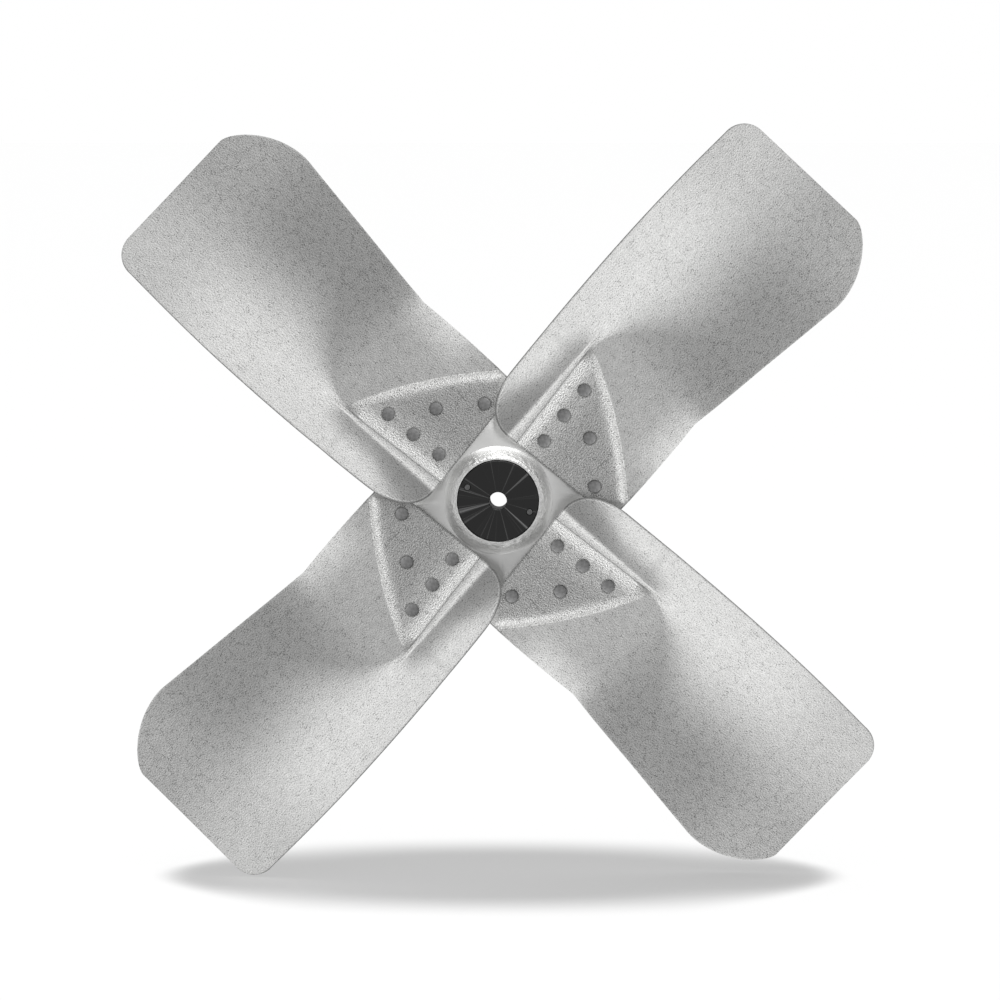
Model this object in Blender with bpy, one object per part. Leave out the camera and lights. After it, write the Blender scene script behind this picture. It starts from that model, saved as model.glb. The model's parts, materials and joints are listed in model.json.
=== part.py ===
"""Four-blade axial fan blade assembly, 26 in across, for a 1/2 in shaft.

Four formed sheet-steel blades are riveted to the front of a pressed spider, and a turned hub
stands through the spider's domed collar. The script clears the scene and models the fan in metres,
upright, with the shaft along Y and the front facing -Y. The origin is on the shaft axis, at the
hub's rear end.

Shapes are drawn in the fan's own flat frame: x along a blade, y across it towards the lobe side,
and z out of the front, with z = 0 at the front of the blades' flat pads.
"""

from math import atan2, cos, pi, radians, sin

import bmesh
import bpy
import numpy as np
from mathutils import Matrix, Vector

# Driving dimensions, in metres
SWEEP_RADIUS = 0.3302
BLADE_COUNT = 4
FIRST_BLADE_ANGLE = radians(51.0)
BLADE_SHEET = 0.0014
SPIDER_SHEET = 0.0025
FIT_GAP = 0.0003

HUB_REAR_Z = -0.036
HUB_FRONT_Z = 0.011
HUB_FACE_RADIUS = 0.0292
HUB_SHOULDER_RADIUS = 0.0340
HUB_BARREL_RADIUS = 0.0150
BORE_RADIUS = 0.00635

# Blade outline: the root edge, the lobe beside it, the two long edges and the tip
ROOT_X = 0.0406
ROOT_FAR_Y = -0.0730
ROOT_NEAR_Y = 0.0242
LOBE_LENGTH = 0.0429
NEAR_EDGE_Y = 0.0513
NEAR_EDGE_TIP_Y = 0.0398
NEAR_EDGE_BOW = 2.4
TIP_NEAR_X = 0.3283
TIP_NEAR_RADIUS = 0.0180
TIP_FAR_WIDTH = 0.0290
TIP_FAR_BOW = 1.6
FAR_CORNER = (0.1319, -0.0769)
FAR_EDGE_TIP = (0.2625, -0.1036)
FAR_BULGE = 0.0011

# Blade form: the groove and crest on the pad's lobe side, and the ridge on its other side
GROOVE_START = (0.0416, 0.0160)
GROOVE_END = (0.1246, 0.0178)
GROOVE_LIFT = 0.0024
GROOVE_LIFT_START_Y = 0.0062
CREST_START = (0.0406, 0.0250)
CREST_END = (0.1400, 0.0200)
RIDGE_START = (0.0584, -0.0698)
RIDGE_END = (0.1246, 0.0145)
RIDGE_BULGE = 0.0042
RIDGE_STEP = 0.0050
RIDGE_STEP_END = 0.0022
RIDGE_INSIDE = 0.0045
RIDGE_OUTSIDE = 0.0028
PAD_END = (0.1216, 0.0161)
PAD_END_FACING = (0.860, 0.510)
CORNER_POINT = (0.0406, -0.0475)
CORNER_FACING = (-0.834, -0.552)
CORNER_SLOPE = 1.1
CORNER_ROUNDING = 0.0010
FAR_CURL_Y = -0.0500
FAR_CURL = 5.0

# Slopes across a blade, as rise over run towards the lobe side
SECTOR_SLOPE = 0.17
WALL_SLOPE = 0.26
WALL_TOP_SLOPE = 0.48
LOBE_SLOPE_ROOT = -0.22
LOBE_SLOPE_OUTER = 0.17
UPPER_SLOPE = 0.50
UPPER_SLOPE_TIP = 0.34
LOWER_SLOPE_ROOT = 0.22
LOWER_SLOPE = 0.09
LOWER_SLOPE_TIP = 0.25

# The fold between a blade's lower and upper slopes: it fans out from the end of the pad
FOLD_Y = 0.0168
FOLD_TIP_Y = -0.0167
FOLD_WIDTH = 0.0035
FOLD_WIDTH_TIP = 0.0950

# Rivets, as places along and across a blade
RIVET_PLACES = (
    (0.0544, 0.0012),
    (0.0779, 0.0017),
    (0.1014, 0.0017),
    (0.0769, -0.0232),
    (0.0517, -0.0481),
)
RIVET_HEAD_RADIUS = 0.0043
RIVET_HEAD_HEIGHT = 0.0006
RIVET_SHANK_RADIUS = 0.0030
RIVET_TAIL_RADIUS = 0.0042
RIVET_TAIL_HEIGHT = 0.0014

# Spider: the plate's arms and the domed collar
ARM_MARGIN = 0.0062
ARM_CORNER_START = -133.0
NOTCH_RADIUS = 0.0180
NOTCH_SIDE_X = 0.0475
NOTCH_TOP_Y = 0.0395
COLLAR_BASE_RADIUS = 0.0398
COLLAR_LIP_RADIUS = 0.0308
COLLAR_HEIGHT = 0.0115

HUB_PIN_RADIUS = 0.0022
HUB_PIN_CIRCLE = 0.0243
HUB_PIN_ANGLES = (radians(156.0), radians(-19.0))
HUB_PIN_LENGTH = 0.0060

SET_SCREW_RADIUS = 0.0040
SET_SCREW_LENGTH = 0.0100
SET_SCREW_TIP_X = 0.0068
SET_SCREW_Z = -0.0210
SOCKET_RADIUS = 0.0023
SOCKET_DEPTH = 0.0035

# Worked out from the driving dimensions
TIP_FAR_X = (SWEEP_RADIUS**2 - (FAR_EDGE_TIP[1] + TIP_FAR_WIDTH) ** 2) ** 0.5
SPIDER_FRONT_Z = -BLADE_SHEET - FIT_GAP
SPIDER_BACK_Z = SPIDER_FRONT_Z - SPIDER_SHEET
LIP_FRONT_Z = SPIDER_FRONT_Z + COLLAR_HEIGHT


def mix(start, end, share):
    return start + (end - start) * share


def smooth(value):
    """Ease from 0 to 1 with level ends."""
    value = np.clip(value, 0.0, 1.0)
    return value * value * (3.0 - 2.0 * value)


def ramp(x, start, end):
    return smooth((x - start) / (end - start))


def line_at(start, end, x):
    """The y at x on the straight line through two points."""
    return mix(start[1], end[1], (x - start[0]) / (end[0] - start[0]))


def eased_rise(y, start, end, slope_before, slope_after):
    """Height gained from start, as the slope eases from one value to the other by end."""
    width = end - start
    share = (y - start) / width
    inside = np.clip(share, 0.0, 1.0)
    eased = inside**3 - inside**4 / 2.0 + np.maximum(share - 1.0, 0.0)
    return slope_before * (y - start) + (slope_after - slope_before) * width * eased


def soft_minimum(first, second, rounding):
    """The smaller of two values, with the corner where they cross rounded off."""
    overlap = np.maximum(rounding - np.abs(first - second), 0.0) / rounding
    return np.minimum(first, second) - overlap**2 * rounding / 4.0


def ridge_circle():
    """Centre and radius of the ridge's arc, from its two ends and its bulge."""
    start = Vector(RIDGE_START)
    end = Vector(RIDGE_END)
    chord = end - start
    radius = chord.length**2 / (8.0 * RIDGE_BULGE) + RIDGE_BULGE / 2.0
    outward = Vector((chord.y, -chord.x)).normalized()
    return (start + end) / 2.0 - outward * (radius - RIDGE_BULGE), radius


RIDGE_CENTRE, RIDGE_RADIUS = ridge_circle()


def near_edge_y(x):
    """The outline's edge on the lobe side."""
    from_root = x - ROOT_X
    share = np.clip(1.0 - from_root / LOBE_LENGTH, 0.0, 1.0)
    lobe = ROOT_NEAR_Y + (NEAR_EDGE_Y - ROOT_NEAR_Y) * (1.0 - share**2.6) ** (1 / 2.2)
    corner_x = TIP_NEAR_X - TIP_NEAR_RADIUS
    run = np.maximum((from_root - LOBE_LENGTH) / (corner_x - ROOT_X - LOBE_LENGTH), 0.0)
    long_edge = mix(NEAR_EDGE_Y, NEAR_EDGE_TIP_Y, run**NEAR_EDGE_BOW)
    inside = TIP_NEAR_RADIUS**2 - np.clip(x - corner_x, 0.0, TIP_NEAR_RADIUS) ** 2
    corner = NEAR_EDGE_TIP_Y - TIP_NEAR_RADIUS + np.sqrt(inside)
    return np.where(from_root < LOBE_LENGTH, lobe, np.where(x > corner_x, corner, long_edge))


def far_edge_y(x):
    """The outline's edge on the side away from the lobe."""
    run = (x - ROOT_X) / (FAR_CORNER[0] - ROOT_X)
    inner = mix(ROOT_FAR_Y, FAR_CORNER[1], run) - FAR_BULGE * 4.0 * run * (1.0 - run)
    long_edge = line_at(FAR_CORNER, FAR_EDGE_TIP, x)
    share = np.clip((x - FAR_EDGE_TIP[0]) / (TIP_FAR_X - FAR_EDGE_TIP[0]), 0.0, 1.0)
    rise = TIP_FAR_WIDTH * (1.0 - (1.0 - share**TIP_FAR_BOW) ** (1.0 / TIP_FAR_BOW))
    lean = (FAR_EDGE_TIP[1] - FAR_CORNER[1]) / (FAR_EDGE_TIP[0] - FAR_CORNER[0])
    corner = FAR_EDGE_TIP[1] + rise + lean * (x - FAR_EDGE_TIP[0]) * (1.0 - share)
    return np.where(x < FAR_CORNER[0], inner, np.where(x < FAR_EDGE_TIP[0], long_edge, corner))


def ridge_y(x):
    """The y of the ridge at x; past its end, the y up to which the sector beyond it falls away."""
    inside = RIDGE_RADIUS**2 - (np.minimum(x, RIDGE_END[0]) - RIDGE_CENTRE.x) ** 2
    return RIDGE_CENTRE.y - np.sqrt(inside) + np.maximum(x - RIDGE_END[0], 0.0) * 2.0


def ridge_step(x):
    """Depth of the rounded step down at the ridge; it gets shallower towards the pad's end."""
    return mix(RIDGE_STEP, RIDGE_STEP_END, ramp(x, 0.085, 0.126))


def ridge_share(x, y):
    """How far the pad's rounded edge has dropped: 0 on the pad, 1 at the ridge and beyond it."""
    inside = RIDGE_RADIUS - np.hypot(x - RIDGE_CENTRE.x, y - RIDGE_CENTRE.y)
    before_end = (PAD_END[0] - x) * PAD_END_FACING[0] + (PAD_END[1] - y) * PAD_END_FACING[1]
    beyond = -soft_minimum(inside, before_end - RIDGE_OUTSIDE, 0.004)
    return np.clip((beyond + RIDGE_INSIDE) / (RIDGE_INSIDE + RIDGE_OUTSIDE), 0.0, 1.0) ** 2


def pad_rise(x, y):
    """The pad's rise to the groove past the first row of rivets; it dies out at the ridge's end."""
    width = line_at(GROOVE_START, GROOVE_END, x) - GROOVE_LIFT_START_Y
    share = np.clip((y - GROOVE_LIFT_START_Y) / width, 0.0, 1.2)
    return GROOVE_LIFT * share**1.5 * (1.0 - ramp(x, 0.104, 0.126))


def corner_drop(x, y):
    """Depth of the root's far corner, which is bent back along a straight line."""
    along = (x - CORNER_POINT[0]) * CORNER_FACING[0]
    past = np.maximum(along + (y - CORNER_POINT[1]) * CORNER_FACING[1], 0.0)
    rounded = np.sqrt(past**2 + CORNER_ROUNDING**2) - CORNER_ROUNDING
    return CORNER_SLOPE * np.where(x < 0.080, rounded, 0.0)


def lower_height(x, y):
    """Height of the pad, the ridge and the sector beyond it, on the far side of the groove."""
    groove = line_at(GROOVE_START, GROOVE_END, x)
    edge = soft_minimum(ridge_y(x), groove, 0.008)
    dropped = ridge_share(x, y)
    curl = FAR_CURL * np.maximum(FAR_CURL_Y - y, 0.0) ** 2 * ramp(x, 0.072, 0.100)
    height = SECTOR_SLOPE * np.minimum(y - edge, 0.0) - ridge_step(x) * dropped
    return height - corner_drop(x, y) - curl + pad_rise(x, y) * (1.0 - dropped)


def wall_lines(x):
    """The y of the groove, of the top of the wall above it, and of the end of the crest's rounding."""
    groove = line_at(GROOVE_START, GROOVE_END, x)
    crest = np.maximum(line_at(CREST_START, CREST_END, x), groove + 0.001)
    rounding = mix(0.0020, 0.0008, ramp(x, 0.050, 0.110))
    return groove, crest - rounding, crest + rounding


def lobe_height(x, y):
    """Height gained from the groove: up the wall, over the crest and through the lobe's dish."""
    groove, wall_top, wall_end = wall_lines(x)
    upper = mix(UPPER_SLOPE, UPPER_SLOPE_TIP, ramp(x, 0.225, 0.300))
    trough = mix(LOBE_SLOPE_ROOT, LOBE_SLOPE_OUTER, ramp(x, 0.045, 0.095))
    trough = mix(trough, upper, ramp(x, 0.115, 0.150))
    dish = mix(0.040, 0.019, ramp(x, 0.045, 0.095))
    on_wall = np.clip(y, groove, wall_top)
    on_crest = np.clip(y, wall_top, wall_end)
    on_lobe = np.maximum(y, wall_end)
    climb = eased_rise(on_wall, groove, wall_top, WALL_SLOPE, WALL_TOP_SLOPE)
    climb = climb + eased_rise(on_crest, wall_top, wall_end, WALL_TOP_SLOPE, trough)
    climb = climb + eased_rise(on_lobe, wall_end, wall_end + dish, trough, upper)
    refill = ridge_step(x) * ridge_share(x, groove) * smooth((y - groove) / (wall_top - groove))
    return climb + refill


def panel_height(x, y):
    """Height of the outer panel, which is folded between a lower and an upper slope."""
    outer = ramp(x, 0.225, 0.300)
    lower = mix(LOWER_SLOPE_ROOT, LOWER_SLOPE, ramp(x, 0.115, 0.170))
    lower = mix(lower, LOWER_SLOPE_TIP, outer)
    upper = mix(UPPER_SLOPE, UPPER_SLOPE_TIP, outer)
    fold = mix(FOLD_Y, FOLD_TIP_Y, ramp(x, 0.132, 0.205))
    width = mix(FOLD_WIDTH, FOLD_WIDTH_TIP, ramp(x, 0.132, 0.212))
    start = fold - width / 2.0
    end = fold + width / 2.0
    crest = np.maximum(line_at(CREST_START, CREST_END, x), line_at(GROOVE_START, GROOVE_END, x) + 0.001)
    fade = 1.0 - ramp(x, 0.122, 0.170)
    sunk = RIDGE_STEP_END * fade * (1.0 - smooth((y - start) / width))
    return eased_rise(y, start, end, lower, upper) - eased_rise(crest, start, end, lower, upper) - sunk


def blade_height(x, y):
    """Height of the blade's front surface over the pad's plane."""
    groove = line_at(GROOVE_START, GROOVE_END, x)
    root = lower_height(x, np.minimum(y, groove)) + np.where(y < groove, 0.0, lobe_height(x, y))
    return mix(root, panel_height(x, y), ramp(x, 0.126, 0.152))


def blade_stations():
    """Shares of the blade's length at which it is sectioned: close together at the rounded ends."""
    lobe = 0.15 * (1.0 - np.cos(np.radians((0, 11, 22, 33, 45, 57, 69, 80))))
    middle = np.linspace(lobe[-1], 0.77, 18)[1:]
    tip = 0.77 + 0.23 * np.sin(np.radians((18, 34, 48, 60, 70, 78, 84, 90)))
    return np.concatenate([lobe, middle, tip])


def blade_grid():
    """The x and y of every vertex of a blade's front, as stations by rows.

    Rows run from the far edge to the near edge. They follow the ridge, the groove and the crest, so
    that each bend has its own lines of vertices.
    """
    share = blade_stations()[:, None]
    far_x = mix(ROOT_X, TIP_FAR_X, share)
    near_x = mix(ROOT_X, TIP_NEAR_X, share)
    x = (far_x + near_x) / 2.0
    far = far_edge_y(far_x)
    near = near_edge_y(near_x)
    groove, wall_top, wall_end = wall_lines(x)
    groove = np.minimum(groove, near - 0.0012)
    wall_top = np.minimum(mix(wall_top, groove + 0.003, ramp(x, 0.145, 0.170)), near - 0.0008)
    wall_end = np.minimum(mix(wall_end, groove + 0.007, ramp(x, 0.145, 0.170)), near - 0.0004)
    bend = CORNER_POINT[1] - (x - CORNER_POINT[0]) * CORNER_FACING[0] / CORNER_FACING[1]
    band = np.maximum(ridge_y(np.minimum(x, RIDGE_END[0])), bend)
    band = mix(band, mix(far, groove, 0.55), ramp(x, RIDGE_END[0], 0.200))
    band_end = np.clip(band - RIDGE_OUTSIDE * 1.4, far + 0.0008, groove - 0.0040)
    band_start = np.clip(band + RIDGE_INSIDE * 1.4, band_end + 0.0010, groove - 0.0020)
    lift = mix(GROOVE_LIFT_START_Y, groove, ramp(x, 0.105, 0.126))
    lift = np.clip(lift, band_start + 0.0005, groove - 0.0010)
    rows = [
        mix(far, band_end, np.array((0.0, 0.22, 0.46, 0.70, 0.88))),
        mix(band_end, band_start, np.array((0.0, 0.30, 0.55, 0.78))),
        mix(band_start, lift, np.array((0.0, 0.45))),
        mix(lift, groove, np.array((0.0, 0.35, 0.70))),
        mix(groove, wall_top, np.array((0.0, 0.50))),
        mix(wall_top, wall_end, np.array((0.0, 0.50))),
        mix(wall_end, near, np.array((0.0, 0.14, 0.32, 0.52, 0.76, 1.0))),
    ]
    y = np.concatenate(rows, axis=1)
    return mix(far_x, near_x, (y - far) / (near - far)), y


def blade_mesh():
    """One blade's front surface as a grid of quads, in the flat frame."""
    x, y = blade_grid()
    z = blade_height(x, y)
    shape = bmesh.new()
    sections = []
    for station in range(len(x)):
        points = zip(x[station], y[station], z[station])
        sections.append([shape.verts.new(point) for point in points])
    for inner, outer in zip(sections, sections[1:]):
        for i in range(len(inner) - 1):
            shape.faces.new((inner[i], outer[i], outer[i + 1], inner[i + 1]))
    return finished_mesh("blade_sheet", shape, closed=False)


def finished_mesh(name, shape, closed=True):
    """A mesh from a bmesh, shaded smooth, with the faces of a closed shape turned outwards."""
    if closed:
        bmesh.ops.recalc_face_normals(shape, faces=shape.faces)
    mesh = bpy.data.meshes.new(name)
    shape.to_mesh(mesh)
    shape.free()
    mesh.shade_smooth()
    mesh.set_sharp_from_angle(angle=radians(40.0))
    return mesh


def turned_mesh(name, profile, segments):
    """A body turned about z from (radius, z) points; a radius of 0 makes a pole."""
    shape = bmesh.new()
    rings = []
    for radius, z in profile:
        if radius == 0.0:
            rings.append([shape.verts.new((0.0, 0.0, z))])
            continue
        angles = [2.0 * pi * i / segments for i in range(segments)]
        rings.append([shape.verts.new((radius * cos(a), radius * sin(a), z)) for a in angles])
    closing = [] if len(rings[0]) == 1 else [(rings[-1], rings[0])]
    for first, second in list(zip(rings, rings[1:])) + closing:
        for i in range(segments):
            j = (i + 1) % segments
            corners = [first[i % len(first)], first[j % len(first)]]
            corners += [second[j % len(second)], second[i % len(second)]]
            shape.faces.new(list(dict.fromkeys(corners)))
    return finished_mesh(name, shape)


def arc_points(centre, radius, start, end, steps):
    """Points on an arc between two angles in degrees, both ends included."""
    angles = [radians(mix(start, end, i / steps)) for i in range(steps + 1)]
    return [Vector((centre[0] + radius * cos(a), centre[1] + radius * sin(a))) for a in angles]


def spider_outline():
    """The plate's outline: each arm runs round its end rivet and its corner rivet, then a notch."""
    end_rivet = RIVET_PLACES[2]
    corner_rivet = RIVET_PLACES[4]
    diagonal = Vector(end_rivet) - Vector(corner_rivet)
    facing = atan2(diagonal.y, diagonal.x) * 180.0 / pi - 90.0
    corner = arc_points(corner_rivet, ARM_MARGIN, ARM_CORNER_START, facing, 4)
    end = arc_points(end_rivet, ARM_MARGIN, facing, 90.0, 6)
    slant = [corner[-1].lerp(end[0], t) for t in (0.25, 0.5, 0.75)]
    centre = (NOTCH_SIDE_X + NOTCH_RADIUS, end_rivet[1] + ARM_MARGIN + NOTCH_RADIUS)
    notch = arc_points(centre, NOTCH_RADIUS, 270.0, 180.0, 5)
    quarter = corner + slant + end + notch + [Vector((NOTCH_SIDE_X, NOTCH_TOP_Y))]
    outline = []
    for i in range(BLADE_COUNT):
        turn = Matrix.Rotation(2.0 * pi * i / BLADE_COUNT, 2)
        outline += [turn @ point for point in quarter]
    return outline


def spider_mesh():
    """The spider's front surface: the domed collar's rings, then the flat plate out to the outline."""
    collar = [(HUB_FACE_RADIUS + FIT_GAP, LIP_FRONT_Z), (COLLAR_LIP_RADIUS, LIP_FRONT_Z)]
    for step in (0.2, 0.45, 0.7, 0.88, 1.0):
        fall = 0.5 * (1.0 - cos(pi * step**1.15))
        radius = mix(COLLAR_LIP_RADIUS, COLLAR_BASE_RADIUS, step)
        collar.append((radius, mix(LIP_FRONT_Z, SPIDER_FRONT_Z, fall)))
    shape = bmesh.new()
    outline = spider_outline()
    rings = []
    for radius, z in collar:
        rings.append([shape.verts.new((*(point.normalized() * radius), z)) for point in outline])
    rings.append([shape.verts.new((*point, SPIDER_FRONT_Z)) for point in outline])
    count = len(outline)
    for inner, outer in zip(rings, rings[1:]):
        for i in range(count):
            j = (i + 1) % count
            shape.faces.new((inner[i], outer[i], outer[j], inner[j]))
    return finished_mesh("spider_sheet", shape, closed=False)


def hub_mesh():
    """The hub: face disc, shoulder behind the collar's lip, and barrel, with the bore through it."""
    shoulder_front = LIP_FRONT_Z - SPIDER_SHEET - FIT_GAP
    shoulder_back = shoulder_front - 0.0045
    bevel = 0.0005
    profile = [
        (BORE_RADIUS, HUB_REAR_Z + bevel),
        (BORE_RADIUS + bevel, HUB_REAR_Z),
        (HUB_BARREL_RADIUS - 0.001, HUB_REAR_Z),
        (HUB_BARREL_RADIUS, HUB_REAR_Z + 0.001),
        (HUB_BARREL_RADIUS, shoulder_back - 0.003),
        (HUB_BARREL_RADIUS + 0.003, shoulder_back),
        (HUB_SHOULDER_RADIUS - 0.0055, shoulder_back),
        (HUB_SHOULDER_RADIUS - 0.0032, shoulder_front),
        (HUB_FACE_RADIUS, shoulder_front),
        (HUB_FACE_RADIUS, HUB_FRONT_Z - bevel),
        (HUB_FACE_RADIUS - bevel, HUB_FRONT_Z),
        (BORE_RADIUS + bevel, HUB_FRONT_Z),
        (BORE_RADIUS, HUB_FRONT_Z - bevel),
    ]
    return turned_mesh("hub_turning", profile, 48)


def rivet_mesh():
    """A rivet: flat front head, shank and formed tail."""
    head_back = FIT_GAP
    tail_front = SPIDER_BACK_Z - FIT_GAP
    profile = [
        (0.0, head_back + RIVET_HEAD_HEIGHT),
        (RIVET_HEAD_RADIUS - 0.0003, head_back + RIVET_HEAD_HEIGHT),
        (RIVET_HEAD_RADIUS, head_back),
        (RIVET_SHANK_RADIUS, head_back),
        (RIVET_SHANK_RADIUS, tail_front),
        (RIVET_TAIL_RADIUS, tail_front),
        (RIVET_TAIL_RADIUS * 0.7, tail_front - RIVET_TAIL_HEIGHT),
        (0.0, tail_front - RIVET_TAIL_HEIGHT),
    ]
    return turned_mesh("rivet_turning", profile, 12)


def set_screw_mesh():
    """A socket set screw, turned about z with its tip at z = 0 and its socket outwards."""
    profile = [
        (0.0, 0.0),
        (SET_SCREW_RADIUS * 0.6, 0.0),
        (SET_SCREW_RADIUS, 0.0012),
        (SET_SCREW_RADIUS, SET_SCREW_LENGTH - 0.0004),
        (SET_SCREW_RADIUS - 0.0004, SET_SCREW_LENGTH),
        (SOCKET_RADIUS, SET_SCREW_LENGTH),
        (SOCKET_RADIUS, SET_SCREW_LENGTH - SOCKET_DEPTH),
        (0.0, SET_SCREW_LENGTH - SOCKET_DEPTH),
    ]
    return turned_mesh("set_screw_turning", profile, 18)


def cutter_mesh(places, radius, low, high, segments):
    """Round cutters along z at the given places, as separate closed cylinders in one mesh."""
    shape = bmesh.new()
    for x, y in places:
        move = Matrix.Translation((x, y, (low + high) / 2.0))
        bmesh.ops.create_cone(
            shape,
            cap_ends=True,
            segments=segments,
            radius1=radius,
            radius2=radius,
            depth=high - low,
            matrix=move,
        )
    return finished_mesh("round_cutter", shape)


def material(name, colour, roughness, metallic):
    made = bpy.data.materials.new(name)
    made.use_nodes = True
    shader = made.node_tree.nodes["Principled BSDF"]
    shader.inputs["Base Color"].default_value = (*colour, 1.0)
    shader.inputs["Roughness"].default_value = roughness
    shader.inputs["Metallic"].default_value = metallic
    return made


def add_object(name, mesh, parent, surface=None):
    made = bpy.data.objects.new(name, mesh)
    bpy.context.scene.collection.objects.link(made)
    made.parent = parent
    if surface and not mesh.materials:
        mesh.materials.append(surface)
    return made


def add_solidify(target, thickness):
    """Give a front surface its sheet thickness, behind the surface."""
    sheet = target.modifiers.new("sheet", "SOLIDIFY")
    sheet.thickness = thickness
    sheet.offset = -1.0
    sheet.use_even_offset = True
    sheet.use_quality_normals = True


def add_cut(target, cutter):
    cutter.hide_render = True
    cutter.display_type = "WIRE"
    cut = target.modifiers.new(cutter.name, "BOOLEAN")
    cut.operation = "DIFFERENCE"
    cut.solver = "EXACT"
    cut.object = cutter


def clear_scene():
    for existing in list(bpy.data.objects):
        bpy.data.objects.remove(existing, do_unlink=True)


def add_rotor():
    """The empty that stands the flat frame upright, with the hub's rear end at Y = 0."""
    rotor = bpy.data.objects.new("rotor", None)
    bpy.context.scene.collection.objects.link(rotor)
    rotor.rotation_euler = (pi / 2.0, 0.0, 0.0)
    rotor.location = (0.0, HUB_REAR_Z, 0.0)
    return rotor


def add_blades(rotor):
    surface = material("galvanized_steel", (0.52, 0.52, 0.51), 0.42, 0.9)
    sheet = blade_mesh()
    hole = RIVET_SHANK_RADIUS + FIT_GAP
    holes = cutter_mesh(RIVET_PLACES, hole, SPIDER_BACK_Z - 0.01, 0.01, 12)
    for number in range(1, BLADE_COUNT + 1):
        angle = FIRST_BLADE_ANGLE + 2.0 * pi * (number - 1) / BLADE_COUNT
        blade = add_object(f"blade_{number}", sheet, rotor, surface)
        blade.rotation_euler.z = angle
        add_solidify(blade, BLADE_SHEET)
        cutter = add_object(f"blade_{number}_holes", holes, rotor)
        cutter.rotation_euler.z = angle
        add_cut(blade, cutter)


def add_rivets(rotor):
    surface = material("rivet_steel", (0.20, 0.20, 0.20), 0.45, 0.9)
    rivet = rivet_mesh()
    for number in range(1, BLADE_COUNT + 1):
        angle = FIRST_BLADE_ANGLE + 2.0 * pi * (number - 1) / BLADE_COUNT
        turn = Matrix.Rotation(angle, 2)
        for place, point in enumerate(RIVET_PLACES, start=1):
            made = add_object(f"rivet_{number}_{place}", rivet, rotor, surface)
            made.location = (*(turn @ Vector(point)), 0.0)


def add_spider(rotor):
    surface = material("plated_steel", (0.66, 0.66, 0.65), 0.30, 0.9)
    spider = add_object("spider", spider_mesh(), rotor, surface)
    spider.rotation_euler.z = FIRST_BLADE_ANGLE
    add_solidify(spider, SPIDER_SHEET)
    places = []
    for number in range(BLADE_COUNT):
        turn = Matrix.Rotation(2.0 * pi * number / BLADE_COUNT, 2)
        places += [turn @ Vector(point) for point in RIVET_PLACES]
    hole = RIVET_SHANK_RADIUS + FIT_GAP
    holes = cutter_mesh(places, hole, SPIDER_BACK_Z - 0.01, 0.01, 12)
    cutter = add_object("spider_holes", holes, rotor)
    cutter.rotation_euler.z = FIRST_BLADE_ANGLE
    add_cut(spider, cutter)


def add_hub(rotor):
    surface = material("blackened_steel", (0.02, 0.02, 0.02), 0.35, 0.9)
    hub = add_object("hub", hub_mesh(), rotor, surface)
    places = [(HUB_PIN_CIRCLE * cos(a), HUB_PIN_CIRCLE * sin(a)) for a in HUB_PIN_ANGLES]
    low = HUB_FRONT_Z - HUB_PIN_LENGTH - FIT_GAP
    pockets = cutter_mesh(places, HUB_PIN_RADIUS + FIT_GAP, low, HUB_FRONT_Z + 0.01, 12)
    add_cut(hub, add_object("hub_pin_holes", pockets, rotor))
    screw_hole = cutter_mesh([(0.0, 0.0)], SET_SCREW_RADIUS + FIT_GAP, 0.0, 0.03, 18)
    hole = add_object("set_screw_hole", screw_hole, rotor)
    hole.rotation_euler.y = -pi / 2.0
    hole.location.z = SET_SCREW_Z
    add_cut(hub, hole)

    steel = material("pin_steel", (0.16, 0.16, 0.16), 0.40, 0.9)
    bevel = 0.0003
    pin = turned_mesh(
        "hub_pin_turning",
        [
            (0.0, HUB_FRONT_Z),
            (HUB_PIN_RADIUS - bevel, HUB_FRONT_Z),
            (HUB_PIN_RADIUS, HUB_FRONT_Z - bevel),
            (HUB_PIN_RADIUS, HUB_FRONT_Z - HUB_PIN_LENGTH),
            (0.0, HUB_FRONT_Z - HUB_PIN_LENGTH),
        ],
        12,
    )
    for number, (x, y) in enumerate(places, start=1):
        made = add_object(f"hub_pin_{number}", pin, rotor, steel)
        made.location = (x, y, 0.0)

    screw = add_object("set_screw", set_screw_mesh(), rotor, steel)
    screw.rotation_euler.y = -pi / 2.0
    screw.location = (-SET_SCREW_TIP_X, 0.0, SET_SCREW_Z)


def main():
    clear_scene()
    rotor = add_rotor()
    add_blades(rotor)
    add_rivets(rotor)
    add_spider(rotor)
    add_hub(rotor)


main()
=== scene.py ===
"""Finished look of the four-blade fan blade assembly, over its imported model, in metres.

The flat frame used for drawing has x along a blade, y across it towards the lobe side and z out of the
front, with z = 0 at the front of the pads. stand_up() turns it upright, shaft along Y, front facing -Y.
"""

import json
from math import cos, pi, radians, sin

import bmesh
import bpy
import numpy as np
from bpy.props import FloatProperty, FloatVectorProperty, PointerProperty
from mathutils import Matrix, Vector

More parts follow.
